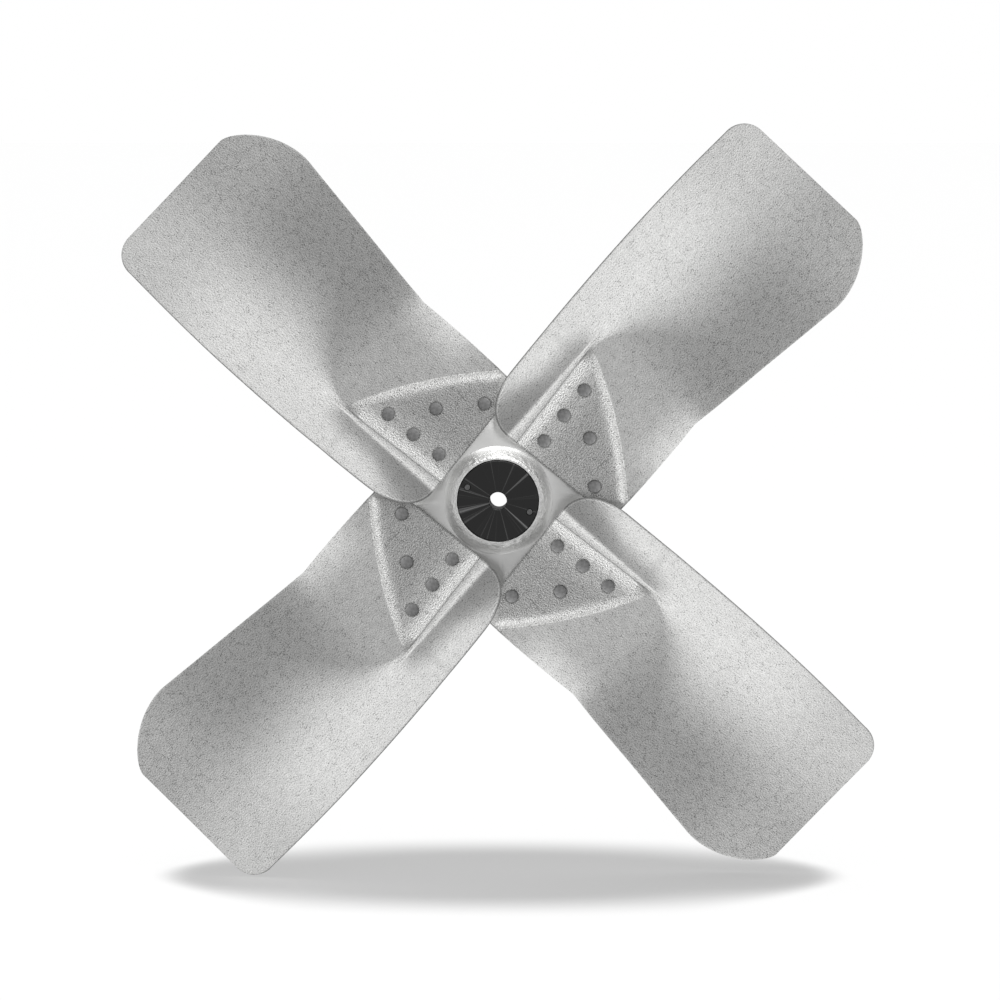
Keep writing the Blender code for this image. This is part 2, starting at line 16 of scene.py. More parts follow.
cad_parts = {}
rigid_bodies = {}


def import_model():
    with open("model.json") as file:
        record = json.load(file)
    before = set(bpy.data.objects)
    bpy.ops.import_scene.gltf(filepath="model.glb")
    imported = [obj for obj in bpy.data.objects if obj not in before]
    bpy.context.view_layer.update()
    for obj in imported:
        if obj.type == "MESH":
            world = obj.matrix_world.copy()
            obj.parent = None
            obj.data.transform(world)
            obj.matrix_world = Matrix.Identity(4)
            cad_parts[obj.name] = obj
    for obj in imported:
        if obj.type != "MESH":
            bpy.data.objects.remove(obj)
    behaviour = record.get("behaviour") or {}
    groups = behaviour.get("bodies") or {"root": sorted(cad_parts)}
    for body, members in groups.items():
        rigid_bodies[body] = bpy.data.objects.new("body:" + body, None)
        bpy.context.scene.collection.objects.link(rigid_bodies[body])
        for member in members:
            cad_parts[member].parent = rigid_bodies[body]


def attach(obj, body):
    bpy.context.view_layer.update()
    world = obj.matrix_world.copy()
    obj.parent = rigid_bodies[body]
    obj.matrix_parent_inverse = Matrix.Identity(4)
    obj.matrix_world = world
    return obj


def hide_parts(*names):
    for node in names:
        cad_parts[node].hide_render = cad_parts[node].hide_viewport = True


bl_info = {
    "name": "Fan blade look",
    "version": (1, 0, 0),
    "blender": (4, 5, 0),
    "location": "3D View > Sidebar > Fan",
    "description": "Builds the finished pieces of a four-blade axial fan over its packed model",
    "category": "Object",
}

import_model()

BLADE_COUNT = 4
FIRST_BLADE_ANGLE = radians(51.0)
BLADE_SHEET = 0.0014
SPIDER_SHEET = 0.0025
FIT_GAP = 0.0003
HUB_REAR_Z = -0.036
HUB_FRONT_Z = 0.011
HUB_FACE_RADIUS = 0.0292
HUB_SHOULDER_RADIUS = 0.0340
HUB_BARREL_RADIUS = 0.0150
BORE_RADIUS = 0.00635
SHARP_ANGLE = radians(40.0)

# Blade outline
ROOT_X = 0.0406
ROOT_FAR_Y = -0.0730
ROOT_NEAR_Y = 0.0242
LOBE_LENGTH = 0.0429
NEAR_EDGE_Y = 0.0513
NEAR_EDGE_TIP_Y = 0.0398
NEAR_EDGE_BOW = 2.4
TIP_NEAR_X = 0.3283
TIP_NEAR_RADIUS = 0.0180
TIP_FAR_X = 0.32166
TIP_FAR_WIDTH = 0.0290
TIP_FAR_BOW = 1.6
FAR_CORNER = (0.1319, -0.0769)
FAR_EDGE_TIP = (0.2625, -0.1036)
FAR_BULGE = 0.0011

# Blade form
GROOVE_START = (0.0416, 0.0160)
GROOVE_END = (0.1246, 0.0178)
CREST_START = (0.0406, 0.0250)
CREST_END = (0.1400, 0.0200)
RIDGE_START = (0.0584, -0.0698)
RIDGE_END = (0.1246, 0.0145)
RIDGE_BULGE = 0.0042
RIDGE_STEP = 0.0050
RIDGE_STEP_END = 0.0022
RIDGE_INSIDE = 0.0055
RIDGE_OUTSIDE = 0.0028
RIDGE_CURVE = 2.5
RIDGE_TURN = 0.004
PAD_END = (0.1246, 0.0161)
PAD_END_FACING = (0.860, 0.510)
CORNER_POINT = (0.0406, -0.0475)
CORNER_FACING = (-0.834, -0.552)
CORNER_SLOPE = 1.1
CORNER_ROUNDING = 0.0010
PAD_RISE = 0.0024
PAD_RISE_START_Y = 0.0062
SECTOR_SLOPE = 0.17
FAR_SLOPES = (0.22, 0.09, 0.25)
UP_SLOPES = (0.50, 0.34)
WALL_SLOPES = (0.26, 0.48)
TROUGH_SLOPES = (-0.22, 0.11)
TROUGH_WIDTHS = (0.040, 0.019)

RIVET_PLACES = (
    (0.0544, 0.0012),
    (0.0779, 0.0017),
    (0.1014, 0.0017),
    (0.0769, -0.0232),
    (0.0517, -0.0481),
)
RIVET_HEAD_RADIUS = 0.0043
RIVET_HEAD_HEIGHT = 0.0006
RIVET_SHANK_RADIUS = 0.0030
RIVET_TAIL_RADIUS = 0.0042
RIVET_TAIL_HEIGHT = 0.0014

ARM_MARGIN = 0.0062
ARM_CORNER_START = -133.0
NOTCH_RADIUS = 0.0180
NOTCH_SIDE_X = 0.0475
NOTCH_TOP_Y = 0.0395
COLLAR_BASE_RADIUS = 0.0398
COLLAR_LIP_RADIUS = 0.0308
COLLAR_HEIGHT = 0.0115
COLLAR_CURVE = 0.55

HUB_FLANGE = 0.0045
HUB_PIN_RADIUS = 0.0022
HUB_PIN_CIRCLE = 0.0243
HUB_PIN_ANGLES = (radians(156.0), radians(-19.0))
HUB_PIN_LENGTH = 0.0060
SET_SCREW_RADIUS = 0.0040
SET_SCREW_LENGTH = 0.0100
SET_SCREW_TIP_X = 0.0068
SET_SCREW_Z = -0.0210
SOCKET_RADIUS = 0.0023
SOCKET_DEPTH = 0.0035

SPIDER_FRONT_Z = -BLADE_SHEET - FIT_GAP
SPIDER_BACK_Z = SPIDER_FRONT_Z - SPIDER_SHEET
LIP_FRONT_Z = SPIDER_FRONT_Z + COLLAR_HEIGHT
FLOOR_Z = -0.2742
FLOOR_SIZE = 3000.0

CAMERA_DISTANCE = 5.0
CAMERA_LENS = 248.0
PICTURE_SHIFT = (-0.001306, -0.000145, 0.0)
BLADE_LIGHT_DISTANCE = 1.3
BLADE_LIGHT_ANGLE = radians(24.0)
BLADE_LIGHT_SIZE = (3.0, 0.9)
FLAG_PLACE = (0.0017, -0.025, 0.5)
FLAG_HALF_AXES = (0.240, 0.208)

# Name, place from the fan's centre, long side, size and power of the lights on the spider and hub
HUB_LIGHTS = (
    ("hub_light", (0.2, -0.25, 1.9), (1.0, 0.0, 0.0), (2.2, 0.7), 22.0),
    ("hub_fill", (0.0, -2.4, 0.3), (1.0, 0.0, 0.0), (3.2, 3.2), 17.0),
    ("hub_right_light", (1.9, -0.2, 0.0), (0.0, 0.0, -1.0), (2.4, 1.2), 6.0),
    ("hub_left_light", (-1.9, -0.2, 0.0), (0.0, 0.0, 1.0), (2.4, 1.2), 6.0),
    ("hub_low_light", (0.0, -0.2, -1.9), (-1.0, 0.0, 0.0), (2.4, 1.2), 6.0),
)
BACK_LIGHT = ((0.6, 2.4, 0.9), (1.0, 0.0, 0.0), (3.2, 2.4), 22.0)

COLOUR = {"subtype": "COLOR", "min": 0.0, "max": 1.0}
LENGTH = {"subtype": "DISTANCE", "unit": "LENGTH"}
ANGLE = {"subtype": "ANGLE", "unit": "ROTATION"}
SMOOTHSTEP = {"interpolation_type": "SMOOTHSTEP"}


def linear(colour):
    """An sRGB hex colour in linear light."""
    channels = [(colour >> shift & 255) / 255.0 for shift in (16, 8, 0)]
    return [c / 12.92 if c <= 0.04045 else ((c + 0.055) / 1.055) ** 2.4 for c in channels]


class FanSizes(bpy.types.PropertyGroup):
    """Sizes of the visible details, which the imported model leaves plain."""

    edge_round: FloatProperty(
        name="Edge rounding",
        description="Rounding of the blades' cut edges",
        default=0.00015,
        min=0.0,
        max=0.0003,
        **LENGTH,
    )
    rivet_chamfer: FloatProperty(
        name="Rivet chamfer",
        description="Width of the chamfer round a rivet's head",
        default=0.0004,
        min=0.0,
        max=0.001,
        **LENGTH,
    )


class FanColours(bpy.types.PropertyGroup):
    """Colours of the finishes."""

    zinc: FloatVectorProperty(
        name="Galvanised sheet", description="Coating of the blades", default=linear(0xCFCFCE), **COLOUR
    )
    plating: FloatVectorProperty(
        name="Zinc plating", description="Plating of the spider", default=linear(0xDEDEDD), **COLOUR
    )
    black: FloatVectorProperty(
        name="Blackened steel", description="Oxide of the hub", default=linear(0x333333), **COLOUR
    )
    rivet: FloatVectorProperty(
        name="Rivet steel", description="Dull steel of the rivets", default=linear(0xA8A8A8), **COLOUR
    )
    pin: FloatVectorProperty(
        name="Pin steel",
        description="Dark steel of the hub's pins and set screw",
        default=linear(0x6E6E6E),
        **COLOUR,
    )
    floor: FloatVectorProperty(
        name="Floor", description="Plain pale floor", default=linear(0xEDEDED), **COLOUR
    )


class FanStage(bpy.types.PropertyGroup):
    """Light levels and the camera's place."""

    fill: FloatProperty(
        name="Fill", description="Strength of the even surrounding light", default=0.385, min=0.0
    )
    blade_light: FloatProperty(
        name="Blade light",
        description="Power of the long soft light along each blade",
        default=20.0,
        min=0.0,
        subtype="POWER",
        unit="POWER",
    )
    elevation: FloatProperty(
        name="Camera elevation",
        description="Camera's angle above the shaft",
        default=radians(3.0),
        **ANGLE,
    )
    azimuth: FloatProperty(
        name="Camera azimuth",
        description="Camera's angle to the right of the shaft",
        default=radians(1.0),
        **ANGLE,
    )


def mix(start, end, share):
    return start + (end - start) * share


def smooth(value):
    """Ease from 0 to 1 with level ends."""
    value = np.clip(value, 0.0, 1.0)
    return value * value * (3.0 - 2.0 * value)


def ramp(x, start, end):
    return smooth((x - start) / (end - start))


def line_at(start, end, x):
    """The y at x on the straight line through two points."""
    return mix(start[1], end[1], (x - start[0]) / (end[0] - start[0]))


def eased_rise(y, start, end, slope_before, slope_after):
    """Height gained from start, as the slope eases from one value to the other by end."""
    width = end - start
    share = (y - start) / width
    inside = np.clip(share, 0.0, 1.0)
    eased = inside**3 - inside**4 / 2.0 + np.maximum(share - 1.0, 0.0)
    return slope_before * (y - start) + (slope_after - slope_before) * width * eased


def soft_minimum(first, second, rounding):
    """The smaller of two values, with the corner where they cross rounded off."""
    overlap = np.maximum(rounding - np.abs(first - second), 0.0) / rounding
    return np.minimum(first, second) - overlap**2 * rounding / 4.0


def ridge_circle():
    """Centre and radius of the ridge's arc, from its two ends and its bulge."""
    start = Vector(RIDGE_START)
    end = Vector(RIDGE_END)
    chord = end - start
    radius = chord.length**2 / (8.0 * RIDGE_BULGE) + RIDGE_BULGE / 2.0
    outward = Vector((chord.y, -chord.x)).normalized()
    return (start + end) / 2.0 - outward * (radius - RIDGE_BULGE), radius


RIDGE_CENTRE, RIDGE_RADIUS = ridge_circle()


def pad_rise(x, y):
    """The pad's rise from the upper rivets to the groove; it dies out at the ridge's end."""
    width = line_at(GROOVE_START, GROOVE_END, x) - PAD_RISE_START_Y
    share = np.clip((y - PAD_RISE_START_Y) / width, 0.0, 1.2)
    return PAD_RISE * share**1.5 * (1.0 - ramp(x, 0.114, 0.129))


def ridge_share(x, y):
    """How far the pad's rounded edge has dropped: 0 on the pad, 1 at the ridge and beyond it."""
    inside = RIDGE_RADIUS - np.hypot(x - RIDGE_CENTRE.x, y - RIDGE_CENTRE.y)
    before_end = (PAD_END[0] - x) * PAD_END_FACING[0] + (PAD_END[1] - y) * PAD_END_FACING[1]
    beyond = -soft_minimum(inside, before_end - RIDGE_OUTSIDE, RIDGE_TURN)
    return np.clip((beyond + RIDGE_INSIDE) / (RIDGE_INSIDE + RIDGE_OUTSIDE), 0.0, 1.0) ** RIDGE_CURVE


def ridge_y(x):
    """The y of the ridge at x, and past its end the y up to which the sector beyond it falls away."""
    inside = RIDGE_RADIUS**2 - (np.minimum(x, RIDGE_END[0]) - RIDGE_CENTRE.x) ** 2
    return RIDGE_CENTRE.y - np.sqrt(inside) + np.maximum(x - RIDGE_END[0], 0.0) * 2.0


def ridge_step(x):
    return mix(RIDGE_STEP, RIDGE_STEP_END, ramp(x, 0.085, 0.126))


def lower_height(x, y):
    """Height of the pad, the ridge and the sector beyond it, on the far side of the groove."""
    groove = line_at(GROOVE_START, GROOVE_END, x)
    edge = soft_minimum(ridge_y(x), groove, 0.008)
    out = ridge_share(x, y)
    past_corner = (x - CORNER_POINT[0]) * CORNER_FACING[0] + (y - CORNER_POINT[1]) * CORNER_FACING[1]
    corner = np.hypot(np.maximum(past_corner, 0.0), CORNER_ROUNDING) - CORNER_ROUNDING
    corner = np.where(x < 0.080, corner, 0.0)
    curl = 5.0 * np.maximum(-0.050 - y, 0.0) ** 2 * ramp(x, 0.072, 0.100)
    drop = SECTOR_SLOPE * np.minimum(y - edge, 0.0) - ridge_step(x) * out - CORNER_SLOPE * corner - curl
    return drop + pad_rise(x, y) * (1.0 - out)


def blade_height(x, y):
    """Height of the blade's front surface over the pad's plane.

    Near the root it is the pad, the wall up to the crest and the trough behind it. Further out these
    run into one panel, which is folded along a line that swings over to the far side.
    """
    groove = line_at(GROOVE_START, GROOVE_END, x)
    outer = ramp(x, 0.225, 0.300)
    far = mix(mix(FAR_SLOPES[0], FAR_SLOPES[1], ramp(x, 0.115, 0.170)), FAR_SLOPES[2], outer)
    up = mix(*UP_SLOPES, outer)
    trough = mix(mix(*TROUGH_SLOPES, ramp(x, 0.045, 0.115)), up, ramp(x, 0.118, 0.150))
    ease = mix(*TROUGH_WIDTHS, ramp(x, 0.045, 0.095))
    crest = np.maximum(line_at(CREST_START, CREST_END, x), groove + 0.001)
    rounding = mix(0.0020, 0.0008, ramp(x, 0.050, 0.110))
    wall_top = crest - rounding
    wall_end = crest + rounding
    low, high = WALL_SLOPES
    climb = eased_rise(np.clip(y, groove, wall_top), groove, wall_top, low, high)
    climb = climb + eased_rise(np.clip(y, wall_top, wall_end), wall_top, wall_end, high, trough)
    climb = climb + eased_rise(np.maximum(y, wall_end), wall_end, wall_end + ease, trough, up)
    foot = lower_height(x, groove)
    refill = ridge_step(x) * ridge_share(x, groove) * smooth((y - groove) / (wall_top - groove))
    root = np.where(y < groove, lower_height(x, np.minimum(y, groove)), foot + refill + climb)

    fold = 0.0168 - 0.0335 * ramp(x, 0.132, 0.205)
    width = mix(0.0035, 0.095, ramp(x, 0.132, 0.212))
    start = fold - width / 2.0
    end = fold + width / 2.0
    sunk = RIDGE_STEP_END * (1.0 - ramp(x, 0.122, 0.170)) * (1.0 - smooth((y - start) / width))
    panel = eased_rise(y, start, end, far, up) - eased_rise(crest, start, end, far, up) - sunk
    return mix(root, panel, ramp(x, 0.126, 0.152))


def near_edge_y(x):
    """The outline's edge on the lobe side."""
    from_root = x - ROOT_X
    share = np.clip(1.0 - from_root / LOBE_LENGTH, 0.0, 1.0)
    lobe = ROOT_NEAR_Y + (NEAR_EDGE_Y - ROOT_NEAR_Y) * (1.0 - share**2.6) ** (1 / 2.2)
    corner_x = TIP_NEAR_X - TIP_NEAR_RADIUS
    run = np.maximum((from_root - LOBE_LENGTH) / (corner_x - ROOT_X - LOBE_LENGTH), 0.0)
    long_edge = mix(NEAR_EDGE_Y, NEAR_EDGE_TIP_Y, run**NEAR_EDGE_BOW)
    inside = TIP_NEAR_RADIUS**2 - np.clip(x - corner_x, 0.0, TIP_NEAR_RADIUS) ** 2
    corner = NEAR_EDGE_TIP_Y - TIP_NEAR_RADIUS + np.sqrt(inside)
    return np.where(from_root < LOBE_LENGTH, lobe, np.where(x > corner_x, corner, long_edge))


def far_edge_y(x):
    """The outline's edge on the side away from the lobe."""
    run = (x - ROOT_X) / (FAR_CORNER[0] - ROOT_X)
    inner = mix(ROOT_FAR_Y, FAR_CORNER[1], run) - FAR_BULGE * 4.0 * run * (1.0 - run)
    long_edge = line_at(FAR_CORNER, FAR_EDGE_TIP, x)
    share = np.clip((x - FAR_EDGE_TIP[0]) / (TIP_FAR_X - FAR_EDGE_TIP[0]), 0.0, 1.0)
    rise = TIP_FAR_WIDTH * (1.0 - (1.0 - share**TIP_FAR_BOW) ** (1.0 / TIP_FAR_BOW))
    lean = (FAR_EDGE_TIP[1] - FAR_CORNER[1]) / (FAR_EDGE_TIP[0] - FAR_CORNER[0])
    corner = FAR_EDGE_TIP[1] + rise + lean * (x - FAR_EDGE_TIP[0]) * (1.0 - share)
    return np.where(x < FAR_CORNER[0], inner, np.where(x < FAR_EDGE_TIP[0], long_edge, corner))


def blade_grid(inset):
    """The x, y of every vertex of a blade's front, as stations by rows, inset from the outline."""
    lobe = 0.15 * (1.0 - np.cos(np.linspace(0.0, radians(80.0), 46)))
    middle = np.linspace(lobe[-1], 0.77, 150)[1:]
    tip = 0.77 + 0.23 * np.sin(np.linspace(0.0, pi / 2.0, 60))[1:]
    share = np.concatenate([lobe, middle, tip])[:, None]
    far_x = mix(ROOT_X + inset, TIP_FAR_X - inset, share)
    near_x = mix(ROOT_X + inset, TIP_NEAR_X - inset, share)
    far_y = far_edge_y(mix(ROOT_X, TIP_FAR_X, share)) + inset
    near_y = near_edge_y(mix(ROOT_X, TIP_NEAR_X, share)) - inset
    middle_x = (far_x + near_x) / 2.0
    groove = np.minimum(line_at(GROOVE_START, GROOVE_END, middle_x), near_y - 0.0008)
    crest = np.maximum(line_at(CREST_START, CREST_END, middle_x), groove + 0.0012)
    crest = np.minimum(mix(crest, groove + 0.005, ramp(middle_x, 0.145, 0.170)), near_y - 0.0002)
    ridge = ridge_y(np.minimum(middle_x, RIDGE_END[0])) - 0.0028
    ridge = mix(ridge, mix(far_y, groove, 0.5), ramp(middle_x, RIDGE_END[0], 0.200))
    ridge = np.clip(ridge, far_y + 0.0005, groove - 0.0040)
    to_ridge = mix(far_y, ridge, np.linspace(0.0, 1.0, 46))
    to_groove = mix(ridge, groove, np.linspace(0.0, 1.0, 56) ** 1.3)
    to_crest = mix(groove, crest, np.linspace(0.0, 1.0, 12))
    to_near = mix(crest, near_y, np.linspace(0.0, 1.0, 34))
    y = np.concatenate([to_ridge, to_groove[:, 1:], to_crest[:, 1:], to_near[:, 1:]], axis=1)
    x = mix(far_x, near_x, (y - far_y) / (near_y - far_y))
    return x, y


def edge_distance(points, edge):
    """Distance of each point from the closed line through the edge's points, seen from the front."""
    nearest = np.full(len(points), np.inf)
    for start, end in zip(edge, np.roll(edge, -1, axis=0)):
        along = end - start
        share = np.clip((points - start) @ along / (along @ along), 0.0, 1.0)
        away = points - start - share[:, None] * along
        nearest = np.minimum(nearest, np.hypot(away[:, 0], away[:, 1]))
    return nearest


def blade_mesh(edge_round):
    """One blade as a closed sheet: dense front, back a sheet's thickness behind it, rounded rim."""
    x, y = blade_grid(edge_round)
    step = 0.0001
    slope_x = (blade_height(x + step, y) - blade_height(x - step, y)) / (2.0 * step)
    slope_y = (blade_height(x, y + step) - blade_height(x, y - step)) / (2.0 * step)
    normal = np.stack([-slope_x, -slope_y, np.ones_like(x)], axis=-1)
    normal /= np.linalg.norm(normal, axis=-1, keepdims=True)
    front = np.stack([x, y, blade_height(x, y)], axis=-1)
    stations, rows = x.shape
    index = np.arange(stations * rows).reshape(stations, rows)
    loop = np.concatenate([index[:-1, 0], index[-1, :-1], index[:0:-1, -1], index[0, :0:-1]])
    front = front.reshape(-1, 3)
    normal = normal.reshape(-1, 3)
    edge = front[loop]
    along = np.roll(edge, -1, axis=0) - np.roll(edge, 1, axis=0)
    out = np.cross(along, normal[loop])
    out /= np.linalg.norm(out, axis=-1, keepdims=True)
    points = [front, front - normal * BLADE_SHEET]
    depths = [edge_round * share for share in (0.3, 1.0)]
    for depth in depths + [BLADE_SHEET - depth for depth in reversed(depths)]:
        short = edge_round - min(depth, BLADE_SHEET - depth)
        points.append(edge - normal[loop] * depth + out * (edge_round**2 - short**2) ** 0.5)

    quads = np.stack([index[:-1, :-1], index[1:, :-1], index[1:, 1:], index[:-1, 1:]], axis=-1)
    quads = quads.reshape(-1, 4)
    back = quads[:, ::-1] + len(front)
    first = 2 * len(front)
    rings = [loop] + [first + k * len(loop) + np.arange(len(loop)) for k in range(4)]
    rings.append(loop + len(front))
    faces = [quads, back]
    for upper, lower in zip(rings, rings[1:]):
        faces.append(np.stack([upper, lower, np.roll(lower, -1), np.roll(upper, -1)], axis=-1))
    mesh = bpy.data.meshes.new("blade_skin")
    mesh.from_pydata(np.concatenate(points).tolist(), [], np.concatenate(faces).tolist())
    inward = np.zeros(len(mesh.vertices))
    inward[: len(front)] = edge_distance(front[:, :2], edge[:, :2])
    inward[len(front) : 2 * len(front)] = inward[: len(front)]
    mesh.attributes.new("edge", "FLOAT", "POINT").data.foreach_set("value", inward * 1000.0)
    mesh.shade_smooth()
    mesh.set_sharp_from_angle(angle=SHARP_ANGLE)
    return mesh


def finished_mesh(name, shape):
    """A shape as a mesh, shaded smooth except at its sharp corners."""
    mesh = bpy.data.meshes.new(name)
    shape.to_mesh(mesh)
    shape.free()
    mesh.shade_smooth()
    mesh.set_sharp_from_angle(angle=SHARP_ANGLE)
    return mesh


def turned_mesh(name, profile, segments):
    """A body turned about z from (radius, z) points; a radius of 0 makes a pole."""
    shape = bmesh.new()
    rings = []
    for radius, z in profile:
        if radius == 0.0:
            rings.append([shape.verts.new((0.0, 0.0, z))])
            continue
        angles = [2.0 * pi * i / segments for i in range(segments)]
        rings.append([shape.verts.new((radius * cos(a), radius * sin(a), z)) for a in angles])
    closing = [] if len(rings[0]) == 1 else [(rings[-1], rings[0])]
    for first, second in list(zip(rings, rings[1:])) + closing:
        for i in range(segments):
            j = (i + 1) % segments
            corners = [first[i % len(first)], first[j % len(first)]]
            corners += [second[j % len(second)], second[i % len(second)]]
            shape.faces.new(list(dict.fromkeys(corners)))
    bmesh.ops.recalc_face_normals(shape, faces=shape.faces)
    return finished_mesh(name, shape)


def drilled_mesh(mesh, matrix, radius, depth):
    """The mesh with a round hole in it; the matrix's z axis points out of the hole at its mouth."""
    shape = bmesh.new()
    middle = matrix @ Matrix.Translation((0.0, 0.0, (0.01 - depth) / 2.0))
    size = {"segments": 48, "radius1": radius, "radius2": radius, "depth": depth + 0.01}
    bmesh.ops.create_cone(shape, cap_ends=True, matrix=middle, **size)
    tool = bpy.data.objects.new("drill", finished_mesh("drill", shape))
    body = bpy.data.objects.new("body", mesh)
    for made in (tool, body):
        bpy.context.scene.collection.objects.link(made)
    cut = body.modifiers.new("hole", "BOOLEAN")
    cut.operation = "DIFFERENCE"
    cut.solver = "EXACT"
    cut.object = tool
    evaluated = body.evaluated_get(bpy.context.evaluated_depsgraph_get())
    drilled = bpy.data.meshes.new_from_object(evaluated)
    for made in (body, tool):
        bpy.data.objects.remove(made, do_unlink=True)
    drilled.set_sharp_from_angle(angle=SHARP_ANGLE)
    return drilled


def arc_points(centre, radius, start, end, steps):
    """Points on an arc between two angles in degrees, both ends included."""
    angles = [radians(mix(start, end, i / steps)) for i in range(steps + 1)]
    return [Vector((centre[0] + radius * cos(a), centre[1] + radius * sin(a))) for a in angles]


def spider_outline():
    """The plate's outline: each arm runs round its end rivet and its corner rivet, then a notch."""
    end_rivet = RIVET_PLACES[2]
    corner_rivet = RIVET_PLACES[4]
    diagonal = Vector(end_rivet) - Vector(corner_rivet)
    facing = np.degrees(np.arctan2(diagonal.y, diagonal.x)) - 90.0
    corner = arc_points(corner_rivet, ARM_MARGIN, ARM_CORNER_START, facing, 10)
    end = arc_points(end_rivet, ARM_MARGIN, facing, 90.0, 14)
    slant = [corner[-1].lerp(end[0], t) for t in (0.2, 0.4, 0.6, 0.8)]
    centre = (NOTCH_SIDE_X + NOTCH_RADIUS, end_rivet[1] + ARM_MARGIN + NOTCH_RADIUS)
    notch = arc_points(centre, NOTCH_RADIUS, 270.0, 180.0, 12)
    quarter = corner + slant + end + notch + [Vector((NOTCH_SIDE_X, NOTCH_TOP_Y))]
    outline = []
    for i in range(BLADE_COUNT):
        turn = Matrix.Rotation(2.0 * pi * i / BLADE_COUNT, 2)
        outline += [turn @ point for point in quarter]
    return outline


def spider_mesh():
    """The spider's front surface: the domed collar's rings, then the flat plate out to the outline."""
    collar = [(HUB_FACE_RADIUS + FIT_GAP, LIP_FRONT_Z - 0.0004)]
    collar += [(HUB_FACE_RADIUS + 0.0007, LIP_FRONT_Z), (COLLAR_LIP_RADIUS - 0.0003, LIP_FRONT_Z)]
    for step in np.linspace(0.04, 1.0, 22):
        fall = mix(step, 0.5 * (1.0 - cos(pi * step)), COLLAR_CURVE)
        radius = mix(COLLAR_LIP_RADIUS, COLLAR_BASE_RADIUS, step)
        collar.append((radius, mix(LIP_FRONT_Z, SPIDER_FRONT_Z, fall)))
    shape = bmesh.new()
    outline = spider_outline()
    rings = []
    for radius, z in collar:
        rings.append([shape.verts.new((*(point.normalized() * radius), z)) for point in outline])
    rings.append([shape.verts.new((*point, SPIDER_FRONT_Z)) for point in outline])
    count = len(outline)
    for inner, outer in zip(rings, rings[1:]):
        for i in range(count):
            j = (i + 1) % count
            shape.faces.new((inner[i], outer[i], outer[j], inner[j]))
    return finished_mesh("spider_skin", shape)


def add_node(tree, kind, inputs=(), **settings):
    """Add a shader node. Its inputs, by name or in order, are linked from a socket or set to a value.

    The order of a MapRange is the value, from min, from max, to min and to max.
    """
    node = tree.nodes.new(f"ShaderNode{kind}")
    for name, value in settings.items():
        setattr(node, name, value)
    for key, value in inputs.items() if isinstance(inputs, dict) else enumerate(inputs):
        if isinstance(value, bpy.types.NodeSocket):
            tree.links.new(value, node.inputs[key])
        else:
            node.inputs[key].default_value = value
    return node.outputs


def new_material(name, **inputs):
    """A material with one Principled shader, with these of its inputs set."""
    made = bpy.data.materials.new(name)
    made.use_nodes = True
    tree = made.node_tree
    shader = tree.nodes["Principled BSDF"]
    for key, value in inputs.items():
        shader.inputs[key.replace("_", " ")].default_value = value
    return made, tree, shader


def paint(tree, shader, colour, shade):
    """Give the shader the colour, made lighter or darker by the shade."""
    tint = add_node(tree, "VectorMath", {0: colour, "Scale": shade}, operation="SCALE")[0]
    tree.links.new(tint, shader.inputs["Base Color"])


def before_line(tree, flat, point, facing, margin):
    """How far a place lies behind the line through a point that faces this way, in mm."""
    back = (-facing[0], -facing[1], 0.0)
    offset = (point[0] * facing[0] + point[1] * facing[1]) * 1000.0 + margin
    ahead = add_node(tree, "VectorMath", (flat, back), operation="DOT_PRODUCT")["Value"]
    return add_node(tree, "Math", (ahead, offset), operation="ADD")[0]


def blade_places(tree):
    """A place on a blade in mm, its x, how far it is below the groove and inside the ridge, and the
    mask of the coined pad."""
    drawn = add_node(tree, "Attribute", attribute_name="drawn")["Vector"]
    flat = add_node(tree, "VectorMath", (drawn, (1.0, 1.0, 0.0)), operation="MULTIPLY")[0]
    parts = add_node(tree, "SeparateXYZ", (flat,))
    lean = (GROOVE_END[1] - GROOVE_START[1]) / (GROOVE_END[0] - GROOVE_START[0])
    start = (GROOVE_START[1] - lean * GROOVE_START[0]) * 1000.0
    groove = add_node(tree, "Math", (parts[0], lean, start), operation="MULTIPLY_ADD")[0]
    below = add_node(tree, "Math", (groove, parts[1]), operation="SUBTRACT")[0]

    centre = (RIDGE_CENTRE.x * 1000.0, RIDGE_CENTRE.y * 1000.0, 0.0)
    reach = add_node(tree, "VectorMath", (flat, centre), operation="DISTANCE")["Value"]
    foot = (RIDGE_RADIUS + RIDGE_OUTSIDE) * 1000.0 + 1.0
    inside = add_node(tree, "Math", (foot, reach), operation="SUBTRACT")[0]
    end = before_line(tree, flat, PAD_END, PAD_END_FACING, 1.0)
    turn = RIDGE_TURN * 1000.0
    inside = add_node(tree, "Math", (inside, end, turn), operation="SMOOTH_MIN")[0]

    corner = before_line(tree, flat, CORNER_POINT, CORNER_FACING, 0.0)
    nearest = add_node(tree, "Math", (below, inside), operation="MINIMUM")[0]
    nearest = add_node(tree, "Math", (nearest, corner), operation="MINIMUM")[0]
    coined = add_node(tree, "MapRange", (nearest, 0.6, 1.6), **SMOOTHSTEP)[0]
    return flat, parts[0], below, inside, coined


def rivet_distances(tree, flat):
    """Distances from a place on a blade to the nearest rivet's middle and to the nearest head's rim."""
    middles = rims = None
    for x, y in RIVET_PLACES:
        middle = (x * 1000.0, y * 1000.0, 0.0)
        away = add_node(tree, "VectorMath", (flat, middle), operation="DISTANCE")["Value"]
        radius = RIVET_HEAD_RADIUS * 1000.0
        gap = add_node(tree, "Math", (away, radius), operation="SUBTRACT")[0]
        gap = add_node(tree, "Math", (gap,), operation="ABSOLUTE")[0]
        if middles is not None:
            away = add_node(tree, "Math", (middles, away), operation="MINIMUM")[0]
            gap = add_node(tree, "Math", (rims, gap), operation="MINIMUM")[0]
        middles, rims = away, gap
    return middles, rims


